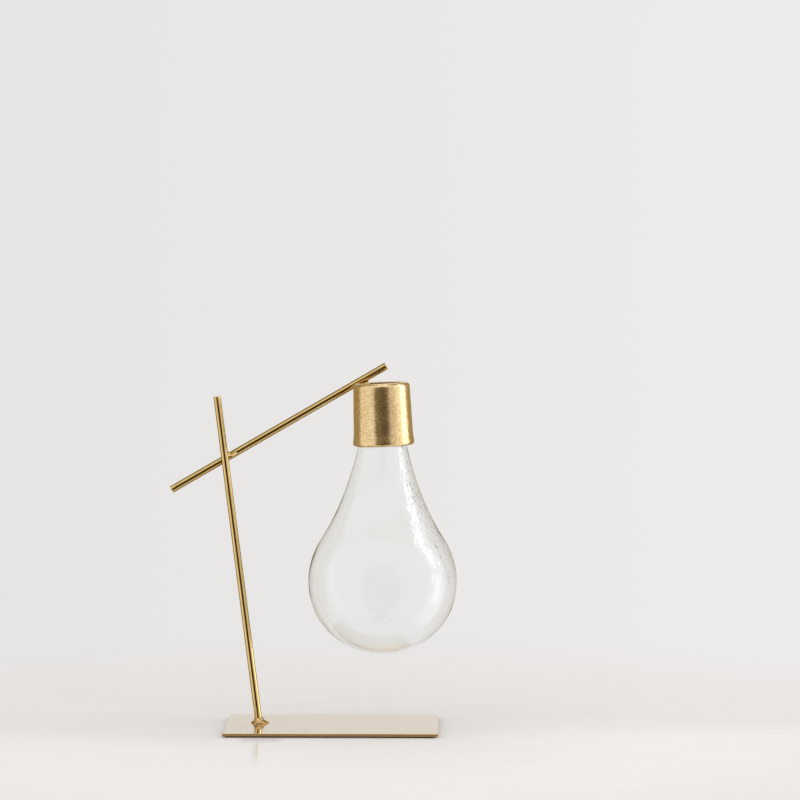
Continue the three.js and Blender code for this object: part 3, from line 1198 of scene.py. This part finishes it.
@dataclass
class Welds:
    """The three welds that join the plate, the rods and the collar.

    A pair of foot sizes is a radius round the upright's foot and a height above the plate. The
    crossing's seam is given along the arm, above it and in front of it.
    """

    rods: Rods
    weld: WeldShape
    stub_length: float = 3.6 * MM
    foot_bead: Bead = Bead(
        seed=11, blob=0.95 * MM, taper=0.62, rough=0.2 * MM, spacing=0.6, uneven=0.2,
    )
    foot_low: Point = (4.15 * MM, -0.3 * MM)
    foot_high: Point = (1.85 * MM, 2.9 * MM)
    foot_sink: float = 0.1 * MM
    foot_shift: float = 0.4 * MM
    foot_turns: float = 4.3
    foot_lobes: int = 5
    foot_lobe_depth: float = 0.07
    foot_steps: int = 160
    crossing_bead: Bead = Bead(
        seed=23, blob=1.45 * MM, taper=0.7, rough=0.12 * MM, spacing=0.5, uneven=0.1,
    )
    crossing_seam: tuple[Place, ...] = (
        (1.7 * MM, 1.9 * MM, 1.9 * MM),
        (1.9 * MM, -0.5 * MM, 2.8 * MM),
        (3.3 * MM, -0.5 * MM, 2.7 * MM),
        (5.6 * MM, -0.3 * MM, 1.5 * MM),
    )
    crossing_stub_at: int = 2
    collar_bead: Bead = Bead(
        seed=37, blob=1.25 * MM, taper=0.6, rough=0.15 * MM, spacing=0.45, uneven=0.12,
    )
    collar_from: float = -3.0 * MM
    collar_to: float = 1.2 * MM

    def build(self) -> None:
        """Builds the welds."""
        finish = WELD_LACQUER.build()
        dress(self.foot(finish), "foot_weld", Body.STAND)
        dress(self.crossing(finish), "crossing_weld", Body.STAND)
        # The collar's weld takes the darker lacquer, which is painted shade.
        dress(self.collar(SHADE_DARKENED_WELD_LACQUER.build()), "collar_weld", Body.STAND)

    def stub(self, rod: Rod, centre: float) -> Rod:
        """A short length of a rod on both sides of a place along it."""
        return Rod(rod.at(centre - self.stub_length), rod.at(centre + self.stub_length), rod.radius)

    def foot(self, finish: bpy.types.Material) -> bpy.types.Object:
        """Lays the weld that winds up round the upright's foot and spreads on the plate.

        Args:
            finish: its material.

        Returns:
            The piece.
        """
        low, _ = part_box("foot_weld")
        centre = middle("foot_weld")
        seam = []
        for i in range(self.foot_steps + 1):
            share = i / self.foot_steps
            angle = math.tau * self.foot_turns * share
            flare = (1 - share) ** 2
            lobe = 1 + self.foot_lobe_depth * flare * math.sin(self.foot_lobes * angle)
            radius = (self.foot_high[0] + (self.foot_low[0] - self.foot_high[0]) * flare) * lobe
            height = self.foot_low[1] + (self.foot_high[1] - self.foot_low[1]) * share
            side = self.foot_shift * flare + radius * math.cos(angle)
            seam.append(Vector((centre.x + side, centre.y + radius * math.sin(angle), low.z + height)))
        upright = self.rods.upright
        stub = Rod(upright.low, upright.at(self.stub_length), upright.radius)
        return self.weld.make("foot_seam", seam, self.foot_bead, (stub, stub), finish,
                              floor=low.z - self.foot_sink)

    def crossing(self, finish: bpy.types.Material) -> bpy.types.Object:
        """Lays the fillet in the corner where the rods cross, in front of the arm.

        Args:
            finish: its material.

        Returns:
            The piece.
        """
        upright = self.rods.upright
        arm = self.rods.arm
        lift = Vector((-arm.along.z, 0.0, arm.along.x))
        front = Vector((0.0, -1.0, 0.0))
        corner = arm.at(arm.nearest(upright.at(upright.nearest(middle("crossing_weld")))))
        seam = [
            corner + arm.along * along + lift * above + front * before
            for along, above, before in self.crossing_seam
        ]
        on_upright = self.stub(upright, upright.nearest(corner))
        on_arm = self.stub(arm, arm.nearest(seam[self.crossing_stub_at]))
        return self.weld.make("crossing_seam", seam, self.crossing_bead, (on_upright, on_arm), finish)

    def collar(self, finish: bpy.types.Material) -> bpy.types.Object:
        """Lays the bead between the arm and the collar's shoulder.

        Args:
            finish: its material.

        Returns:
            The piece.
        """
        arm = self.rods.arm
        centre = middle("collar_weld")
        seam = [centre + arm.along * self.collar_from, centre + arm.along * self.collar_to]
        stub = self.stub(arm, arm.nearest(centre))
        return self.weld.make("collar_seam", seam, self.collar_bead, (stub, stub), finish)


@dataclass
class Collar:
    """The drawn metal cap and the threaded sleeve inside it.

    The cap's lip is rolled inwards from lip_roll_from, in degrees. Its cut edge is rounded by a
    point at each of edge_angles, at edge_size times half the wall from the edge's middle.
    """

    turned: TurnedShape
    height: float = 33.6 * MM
    wall: float = 0.6 * MM
    draft: float = 0.75 * MM
    ring_step: float = 0.6 * MM
    shoulder: float = 2.2 * MM
    shoulder_steps: int = 14
    lip_flare: float = 0.55 * MM
    lip_height: float = 7.0 * MM
    lip_handle: float = 1.2 * MM
    lip_steps: int = 8
    lip_roll: float = 1.5 * MM
    lip_roll_from: float = -78.0
    lip_roll_steps: int = 10
    edge_angles: tuple[float, ...] = (30.0, -10.0, -40.0)
    edge_size: float = 0.9
    top_hole: float = 10.6 * MM
    hole_steps: int = 6
    lean: float = math.radians(-2.3)
    sides: int = 192
    wander: float = 0.12 * MM
    wander_size: float = 26 * MM
    seed: float = 5.0
    dent: Dent = Dent(centre=(-5.4 * MM, -13.6 * MM, 31.3 * MM), reach=1.5 * MM, depth=0.3 * MM)
    liner_root: float = 12.95 * MM
    liner_crest: float = 12.05 * MM
    liner_flange: float = 1.2 * MM
    liner_chamfer: float = 0.4 * MM
    liner_outer_step: float = 2 * MM
    liner_inner_step: float = 0.2 * MM
    thread_inset: float = 2.6 * MM

    def build(self) -> None:
        """Builds the cap and the sleeve."""
        self.cap()
        self.sleeve()

    def cap(self) -> None:
        """Builds the cap, with its lip rolled in and its shoulder rounded."""
        low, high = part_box("collar")
        lip = (high.y - low.y) / 2
        lip_centre = Vector((
            high.x - lip * math.cos(self.lean),
            (low.y + high.y) / 2,
            low.z - lip * math.sin(self.lean),
        ))
        outside = self.outside(lip)
        inside = offset(outside, self.wall)[::-1]
        edge = self.wall / 2
        hole = arc((self.top_hole + edge, self.height - edge), edge, 90, 270, self.hole_steps)
        last, first = inside[-1], outside[0]
        tip = ((last[0] + first[0]) / 2, (last[1] + first[1]) / 2)
        roll = [
            (tip[0] - edge * math.sin(a) * self.edge_size, tip[1] - edge * math.cos(a) * self.edge_size)
            for a in (math.radians(angle) for angle in self.edge_angles)
        ]
        points = [*outside, *hole, *inside, *roll, first]
        cap = self.turned.make(
            "collar_cap", outline(points, self.wander), self.sides, COLLAR_LACQUER.build(), lip_centre,
            lean=self.lean, wander_size=self.wander_size, seed=self.seed, dent=self.dent,
        )
        dress(cap, "collar", Body.STAND)

    def outside(self, lip: float) -> list[Point]:
        """Works out the cap's outer wall from its lip up to its flat top.

        Args:
            lip: the lip's radius.

        Returns:
            The points, with height 0 at the lip.
        """
        skirt = lip - self.lip_flare
        top = skirt - self.draft
        shoulder_height = self.height - self.shoulder
        lip_end = (lip, self.lip_roll)
        skirt_start = (skirt, self.lip_height)
        return without_repeats([
            *arc((lip - self.lip_roll, self.lip_roll), self.lip_roll, self.lip_roll_from, 0,
                 self.lip_roll_steps),
            *bezier(lip_end, (lip, self.lip_roll + self.lip_handle),
                    (skirt, self.lip_height - self.lip_handle), skirt_start, self.lip_steps),
            *straight(skirt_start, (top, shoulder_height), self.ring_step),
            *arc((top - self.shoulder, shoulder_height), self.shoulder, 0, 90, self.shoulder_steps),
        ])

    def sleeve(self) -> None:
        """Builds the moulded sleeve with its inner thread."""
        low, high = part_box("thread_liner")
        outer = (high.y - low.y) / 2
        length = high.z - low.z
        chamfer = self.liner_chamfer
        points = [
            (self.liner_root + chamfer, -length),
            (outer - chamfer, -length),
            (outer, -length + chamfer),
            *straight((outer, -length + chamfer), (outer, -chamfer), self.liner_outer_step),
            (outer - chamfer, 0.0),
            (self.top_hole + chamfer, 0.0),
            (self.top_hole, -chamfer),
            (self.top_hole, -self.liner_flange),
            *straight((self.liner_root, -self.liner_flange), (self.liner_root, chamfer - length),
                      self.liner_inner_step),
            (self.liner_root + chamfer, -length),
        ]
        depth = self.liner_crest - self.liner_root
        thread = Thread(wall=self.liner_root, height=depth, start=self.thread_inset - length)
        sleeve = self.turned.make(
            "thread_sleeve", outline(points), self.sides, LINER_PLASTIC.build(),
            on_axis("thread_liner", high.z), thread=thread,
        )
        dress(sleeve, "thread_liner", Body.STAND)


@dataclass
class Vessel:
    """The glass and the soft ring that its rim closes on.

    The bowl below the glass's widest place is an oval, and fullness above 2 makes it fuller than
    a plain ellipse. The shoulder is an arc of a sphere up to shoulder_angle. From there a curve
    leads to the neck, with a handle at each end.
    """

    turned: TurnedShape
    neck_radius: float = 11.8 * MM
    neck_length: float = 19.6 * MM
    neck_handle: float = 4 * MM
    neck_step: float = 0.2 * MM
    flare_height: float = 81.1 * MM
    flare_steps: int = 80
    shoulder_angle: float = math.radians(32.9)
    shoulder_handle: float = 30 * MM
    shoulder_steps: int = 26
    fullness: float = 2.1
    bowl_steps: int = 60
    wall: float = 1.5 * MM
    rim_steps: int = 10
    sides: int = 144
    outer_wander: float = 0.12 * MM
    inner_wander: float = 0.3 * MM
    wander_size: float = 24 * MM
    wander_fade: float = 15 * MM
    seed: float = 7.0
    thread_start: float = -14.0 * MM
    thread_height: float = 0.9 * MM
    seal_inset: float = 0.1 * MM
    seal_round: float = 0.4 * MM
    seal_steps: int = 5
    seal_sides: int = 96

    def build(self) -> None:
        """Builds the glass and the seal."""
        self.glass()
        self.seal()

    def wall_points(self, belly_radius: float, belly_depth: float) -> list[Point]:
        """The glass's outer wall from its lowest point up to the foot of the rim.

        Args:
            belly_radius: the largest radius.
            belly_depth: how far the glass goes below its widest place.

        Returns:
            Points of radius and height, with height 0 at the rim.
        """
        belly = -self.neck_length - self.flare_height
        power = 2 / self.fullness
        bowl = [(0.0, belly - belly_depth)]
        for i in range(1, self.bowl_steps):
            angle = math.pi / 2 * (1 - i / self.bowl_steps)
            radius = belly_radius * math.cos(angle) ** power
            bowl.append((radius, belly - belly_depth * math.sin(angle) ** power))
        turn = math.degrees(self.shoulder_angle)
        shoulder = arc((0.0, belly), belly_radius, 0, turn, self.shoulder_steps)
        corner = shoulder[-1]
        way = (-math.sin(self.shoulder_angle), math.cos(self.shoulder_angle))
        handle = (corner[0] + way[0] * self.shoulder_handle, corner[1] + way[1] * self.shoulder_handle)
        neck = (self.neck_radius, -self.neck_length)
        flare = bezier(corner, handle, (neck[0], neck[1] - self.neck_handle), neck, self.flare_steps)
        shaft = straight(neck, (self.neck_radius, -self.wall / 2), self.neck_step)
        return without_repeats([*bowl, *shoulder, *flare, *shaft])

    def wander(self, height: float, most: float) -> float:
        """How far the wall wanders at a height. It fades out towards the neck, which is moulded."""
        share = (-self.neck_length - height) / self.wander_fade
        return most * min(1.0, max(0.0, share))

    def glass(self) -> None:
        """Builds the glass, a closed wall with a rounded rim and a thread round its neck."""
        low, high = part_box("glass_bulb")
        belly_radius = (high.x - low.x) / 2
        belly_depth = high.z - low.z - self.neck_length - self.flare_height
        outer = self.wall_points(belly_radius, belly_depth)
        inner = offset(outer, self.wall)[::-1]
        edge = self.wall / 2
        rim = arc((self.neck_radius - edge, -edge), edge, 0, 180, self.rim_steps)
        points = [
            *((radius, self.wander(height, self.outer_wander), height) for radius, height in outer),
            *((radius, 0.0, height) for radius, height in rim[1:-1]),
            *((radius, self.wander(height, self.inner_wander), height) for radius, height in inner),
        ]
        thread = Thread(wall=self.neck_radius, height=self.thread_height, start=self.thread_start)
        glass = self.turned.make(
            "glass_vessel", points, self.sides, GlassFinish().build(), on_axis("glass_bulb", high.z),
            wander_size=self.wander_size, seed=self.seed, thread=thread,
        )
        dress(glass, "glass_bulb", Body.BULB)

    def seal(self) -> None:
        """Builds the soft ring on the rim."""
        low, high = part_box("neck_seal")
        outer = (high.x - low.x) / 2
        inner = self.neck_radius - self.wall + self.seal_inset
        top = high.z - low.z
        r = self.seal_round
        points = [
            *arc((outer - r, r), r, -90, 0, self.seal_steps),
            *arc((outer - r, top - r), r, 0, 90, self.seal_steps),
            *arc((inner + r, top - r), r, 90, 180, self.seal_steps),
            *arc((inner + r, r), r, 180, 270, self.seal_steps),
            (outer - r, 0.0),
        ]
        ring = self.turned.make(
            "rim_seal", outline(points), self.seal_sides, SEAL_SILICONE.build(),
            on_axis("neck_seal", low.z),
        )
        dress(ring, "neck_seal", Body.SEAL)


# Studio

# The floor's darker colour far behind the vase, part of its painted fall of light. The room shows it below
# the floor line.
FLOOR_FAR = srgb(231, 227, 224)


@dataclass
class Camera:
    """The camera, where the photograph was taken from. Its turns are in degrees."""

    lens: float = 130.5
    sensor: float = 36.0
    place: Place = (0.0602, -1.5599, 0.2595)
    pitch: float = 2.986
    yaw: float = 0.863

    def build(self) -> None:
        """Adds the camera and shows colours as they are."""
        data = bpy.data.cameras.new("camera")
        data.lens = self.lens
        data.sensor_width = self.sensor
        camera = add_object("camera", data)
        camera.location = self.place
        camera.rotation_euler = Euler((math.radians(90 - self.pitch), 0.0, math.radians(self.yaw)))
        bpy.context.scene.camera = camera
        bpy.context.scene.view_settings.view_transform = "Standard"


@dataclass
class Softbox:
    """A soft lamp by the window, for what is matt.

    Its azimuth is counted from the front in degrees, positive to the right, and its level is the
    brightness of its face.
    """

    azimuth: float = 92.0
    distance: float = 1.3
    low: float = 0.12
    high: float = 1.6
    width: float = 0.37
    level: float = 3.0

    def build(self) -> None:
        """Adds the lamp, upright and facing the vase."""
        lamp = bpy.data.lights.new("window", "AREA")
        lamp.shape = "RECTANGLE"
        lamp.size = self.width
        lamp.size_y = self.high - self.low
        lamp.energy = self.level * math.pi * lamp.size * lamp.size_y
        holder = add_object("window", lamp)
        angle = math.radians(self.azimuth)
        place = Vector((self.distance * math.sin(angle), -self.distance * math.cos(angle), 0.0))
        holder.rotation_euler = (-place).to_track_quat("-Z", "Y").to_euler()
        place.z = (self.low + self.high) / 2
        holder.location = place
        holder.visible_camera = False
        holder.visible_glossy = False
        holder.visible_transmission = False


@dataclass(frozen=True)
class Direction:
    """The sockets of a direction in the world's nodes: its parts and its two angles."""

    right: Feed
    back: Feed
    up: Feed
    azimuth: Feed
    elevation: Feed


def between(g: NodeGraph, angle: Feed, start: float, end: float, edge: float) -> bpy.types.NodeSocket:
    """Adds nodes that give 1 between two angles and fade to 0 on both sides.

    Args:
        g: the graph.
        angle: the angle, in radians.
        start: the first angle, in degrees.
        end: the last one, in degrees.
        edge: half the width of each fade, in degrees.

    Returns:
        The share, from 0 to 1.
    """
    first, last, soft = (math.radians(value) for value in (start, end, edge))
    begun = g.spread(angle, first - soft, first + soft, smooth=True)
    ended = g.spread(angle, last - soft, last + soft, smooth=True)
    return g.math("MULTIPLY", begun, g.math("SUBTRACT", 1.0, ended))


@dataclass(frozen=True)
class Wall:
    """A soft-edged stretch of the room that reflections show lighter or darker.

    Azimuths are counted from the front, positive to the right, and heights from level, both in
    degrees.
    """

    start: float
    end: float
    edge: float
    level: float
    low: float = -50.0
    high: float = 50.0
    end_edge: float = 8.0

    def share(self, g: NodeGraph, way: Direction) -> bpy.types.NodeSocket:
        """How far the stretch covers a direction, from 0 to 1."""
        across = between(g, way.azimuth, self.start, self.end, self.edge)
        return g.math("MULTIPLY", across, between(g, way.elevation, self.low, self.high, self.end_edge))


@dataclass(frozen=True)
class Patch:
    """A soft oval patch of the room. Its centre's place and its half widths are in degrees."""

    azimuth: float
    elevation: float
    inner: float
    outer: float
    flatness: float
    colour: Colour

    def share(self, g: NodeGraph, way: Direction) -> bpy.types.NodeSocket:
        """Works out how far the patch covers a direction.

        Args:
            g: the world's graph.
            way: the direction.

        Returns:
            The share, from 0 to 1.
        """
        aside = g.math("SUBTRACT", way.azimuth, math.radians(self.azimuth))
        above = g.math("SUBTRACT", way.elevation, math.radians(self.elevation))
        above = g.math("MULTIPLY", above, self.flatness)
        away = g.vector("LENGTH", g.out("ShaderNodeCombineXYZ", {"X": aside, "Y": above}), pick="Value")
        return g.spread(away, math.radians(self.inner), math.radians(self.outer), 1.0, 0.0, smooth=True)


@dataclass
class Room:
    """A pale room that is dark in front, with a window on the right.

    What is matt gets even light. What is glossy shows the room's walls, windows and dark front,
    and a warm ring round its back, whose angles are counted from the front in degrees. What is
    seen through the glass is the plain backdrop with a faint window.
    """

    backdrop_left: Colour = srgb(230, 229, 227)
    backdrop_right: Colour = srgb(238, 236, 236)
    gradient_reach: float = 0.14
    ambient: float = 0.95
    floor_line: float = math.radians(-8.5)
    floor_line_softness: float = math.radians(0.5)
    overhead: float = 1.35
    overhead_height: Point = (0.5, 0.8)
    ring: Colour = (0.4, 0.33, 0.18, 1.0)
    ring_start: float = 97.0
    ring_high_start: float = 80.0
    ring_end: float = 174.0
    ring_edge: float = 4.0
    ring_side: Point = (0.1, 0.25)
    ring_height: Point = (0.3, 0.6)
    walls: tuple[Wall, ...] = (
        Wall(start=-98, end=-30, edge=6, level=1.12),
        Wall(start=55, end=112, edge=6, level=1.2),
        Wall(start=76, end=113, edge=4, level=1.75),
    )
    patches: tuple[Patch, ...] = (
        Patch(azimuth=-1, elevation=-8, inner=26, outer=35, flatness=0.8, colour=(0.17, 0.12, 0.05, 1.0)),
        Patch(azimuth=8, elevation=-13, inner=11, outer=22, flatness=0.9, colour=(0.03, 0.017, 0.005, 1.0)),
    )
    windows: tuple[Wall, ...] = (
        Wall(start=86, end=103, edge=1.0, level=3.5, low=-24.0, high=5.0, end_edge=4.0),
        Wall(start=86, end=101, edge=1.0, level=6.5, low=14.0, high=46.0, end_edge=2.0),
    )
    faint_window: Wall = Wall(start=88, end=101, edge=1.0, level=1.2, low=-24.0, high=42.0, end_edge=5.0)

    def build(self) -> None:
        """Sets the world: the backdrop as the camera sees it, and the room that reflections show."""
        world = bpy.data.worlds.new("room")
        bpy.context.scene.world = world
        world.cycles.sampling_method = "NONE"
        g = empty_graph(world)
        path = g.add("ShaderNodeLightPath").outputs
        way = self.direction(g)
        across = g.spread(way.right, -self.gradient_reach, self.gradient_reach)
        paint = g.blend(across, self.backdrop_left, self.backdrop_right)
        reflected = self.reflections(g, paint, way)
        faint = self.faint_window
        through = g.blend(faint.share(g, way), paint, grey(faint.level))
        outside = g.math("SUBTRACT", 1.0, path["Transmission Depth"], clamp=True)
        sharp = g.math("ADD", path["Is Glossy Ray"], path["Is Transmission Ray"], clamp=True)
        colour = g.blend(sharp, grey(self.ambient), g.blend(outside, through, reflected))
        low = math.sin(self.floor_line - self.floor_line_softness)
        high = math.sin(self.floor_line + self.floor_line_softness)
        seen = g.blend(g.spread(way.up, low, high, smooth=True), FLOOR_FAR, paint)
        colour = g.blend(path["Is Camera Ray"], colour, seen)
        background = g.out("ShaderNodeBackground", {"Color": colour, "Strength": 1.0})
        g.add("ShaderNodeOutputWorld", {"Surface": background})

    def direction(self, g: NodeGraph) -> Direction:
        """Adds the nodes of the direction in which the world is seen.

        Args:
            g: the world's graph.

        Returns:
            The direction.
        """
        way = g.parts(g.out("ShaderNodeTexCoord", pick="Generated"))
        azimuth = g.math("ARCTAN2", way["X"], g.math("MULTIPLY", way["Y"], -1.0))
        return Direction(way["X"], way["Y"], way["Z"], azimuth, g.math("ARCSINE", way["Z"]))

    def reflections(self, g: NodeGraph, paint: Feed, way: Direction) -> bpy.types.NodeSocket:
        """Works out what a glossy surface shows.

        Args:
            g: the world's graph.
            paint: the backdrop's colour.
            way: the direction.

        Returns:
            The room's colour in that direction.
        """
        above = g.spread(way.up, *self.overhead_height, smooth=True)
        colour = g.blend(above, paint, grey(self.overhead))
        colour = g.blend(self.ring_share(g, way), colour, self.ring)
        for wall in self.walls:
            colour = g.blend(wall.share(g, way), colour, grey(wall.level))
        for patch in self.patches:
            colour = g.blend(patch.share(g, way), colour, patch.colour)
        for window in self.windows:
            colour = g.blend(window.share(g, way), colour, grey(window.level))
        return colour

    def ring_share(self, g: NodeGraph, way: Direction) -> bpy.types.NodeSocket:
        """Works out how far the ring covers a direction.

        Args:
            g: the world's graph.
            way: the direction.

        Returns:
            The share, from 0 to 1.
        """
        turned = g.math("ARCCOSINE", g.math("MULTIPLY", way.back, -1.0))
        low = between(g, turned, self.ring_start, self.ring_end, self.ring_edge)
        high = between(g, turned, self.ring_high_start, self.ring_end, self.ring_edge)
        upwards = g.spread(way.up, *self.ring_height, smooth=True)
        sideways = g.spread(g.math("ABSOLUTE", way.right), *self.ring_side, smooth=True)
        ring = g.math("MAXIMUM", low, g.math("MULTIPLY", high, upwards))
        return g.math("MULTIPLY", ring, sideways)


@dataclass
class Floor:
    """The floor's worn pale paint, with a glossy strip where it mirrors the vase's foot.

    It fades into the room away from the vase. Each pair says where on the floor a change starts
    and where it ends, in metres from its middle. The mirror pairs end what glossy pieces show of
    it, which is only the part by the plate.
    """

    near: Colour = srgb(240, 236, 233)
    near_to_far: Point = (-0.04, 0.04)
    radius: float = 1.1
    sides: int = 96
    fade: Point = (0.16, 0.42)
    front_fade: Point = (-0.235, -0.21)
    mirror_fade: Point = (0.075, 0.11)
    mirror_front_fade: Point = (-0.056, -0.042)
    roughness: float = 0.7
    polish: float = 0.5
    polish_roughness: float = 0.08
    polish_behind: Point = (-0.034, -0.03)
    polish_in_front: Point = (-0.13, -0.07)
    polish_centre: float = -0.0365
    polish_sides: Point = (0.006, 0.014)
    streak_size: float = 0.06
    streak_stretch: float = 7.0
    streak_depth: float = 0.25 * MM
    worn_range: Point = (0.35, 0.65)
    worn_level: float = 0.975

    def build(self) -> None:
        """Adds the floor."""
        shape = bmesh.new()
        bmesh.ops.create_circle(shape, cap_ends=True, segments=self.sides, radius=self.radius)
        floor = add_shape("floor", shape, self.paint())

    def paint(self) -> bpy.types.Material:
        """Makes the floor's paint.

        Returns:
            The finish.
        """
        material, g, output = new_material("floor_paint")
        where = g.out("ShaderNodeTexCoord", pick="Object")
        place = g.parts(where)
        streaks = g.out("ShaderNodeMapping", {"Vector": where, "Scale": (1.0, self.streak_stretch, 1.0)})
        level = g.noise(streaks, self.streak_size, detail=5.0)
        # Painted light: the paint is paler in front of the vase and darker behind it.
        away = g.spread(place["Y"], *self.near_to_far, smooth=True)
        clean = g.blend(away, self.near, FLOOR_FAR)
        worn = g.vector("SCALE", clean, self.worn_level)
        relief = g.bump(level, self.streak_depth)
        paint = g.out("ShaderNodeBsdfPrincipled", {
            "Base Color": g.blend(g.spread(level, *self.worn_range), worn, clean),
            "Roughness": self.roughness, "Specular IOR Level": 0.0, "Normal": relief,
            "Coat Weight": self.polished(g, place), "Coat Roughness": self.polish_roughness,
            "Coat Normal": relief,
        })
        nothing = g.out("ShaderNodeBsdfTransparent")
        mixed = g.out("ShaderNodeMixShader", {0: self.faded(g, where, place), 1: paint, 2: nothing})
        g.feed(output.inputs["Surface"], mixed)
        return material

    def polished(self, g: NodeGraph, place: Mapping[str, Feed]) -> bpy.types.NodeSocket:
        """Works out how strong the polish is at each point.

        Args:
            g: the paint's graph.
            place: the point's parts.

        Returns:
            The polish.
        """
        polish = g.spread(place["Y"], *self.polish_behind, self.polish, 0.0, smooth=True)
        aside = g.math("ABSOLUTE", g.math("SUBTRACT", place["X"], self.polish_centre))
        in_front = g.spread(place["Y"], *self.polish_in_front, 0.0, 1.0, smooth=True)
        on_strip = g.spread(aside, *self.polish_sides, 1.0, 0.0, smooth=True)
        return g.math("MULTIPLY", g.math("MULTIPLY", polish, in_front), on_strip)

    def faded(self, g: NodeGraph, where: Feed, place: Mapping[str, Feed]) -> bpy.types.NodeSocket:
        """Works out how far the floor has faded. What is glossy shows only the part by the plate.

        Args:
            g: the paint's graph.
            where: the point.
            place: the point's parts.

        Returns:
            The share, from 0 to 1.
        """
        distance = g.vector("LENGTH", where, pick="Value")
        in_front = g.spread(place["Y"], *self.front_fade, 1.0, 0.0, smooth=True)
        fade = g.math("MAXIMUM", g.spread(distance, *self.fade, smooth=True), in_front)
        before = g.spread(place["Y"], *self.mirror_front_fade, 1.0, 0.0, smooth=True)
        unseen = g.math("MAXIMUM", g.spread(distance, *self.mirror_fade, smooth=True), before)
        is_glossy = g.out("ShaderNodeLightPath", pick="Is Glossy Ray")
        return g.math("MAXIMUM", fade, g.math("MULTIPLY", unseen, is_glossy))


def main() -> None:
    """Builds the studio and the vase, sub-assembly by sub-assembly."""
    logging.basicConfig(level=logging.INFO, format="%(message)s")
    for part in (Camera(), Room(), Floor(), Softbox()):
        part.build()
    turned = TurnedShape()
    Base().build()
    rods = Rods(turned)
    rods.build()
    Welds(rods, WeldShape()).build()
    Collar(turned).build()
    Vessel(turned).build()


if __name__ == "__main__":
    main()
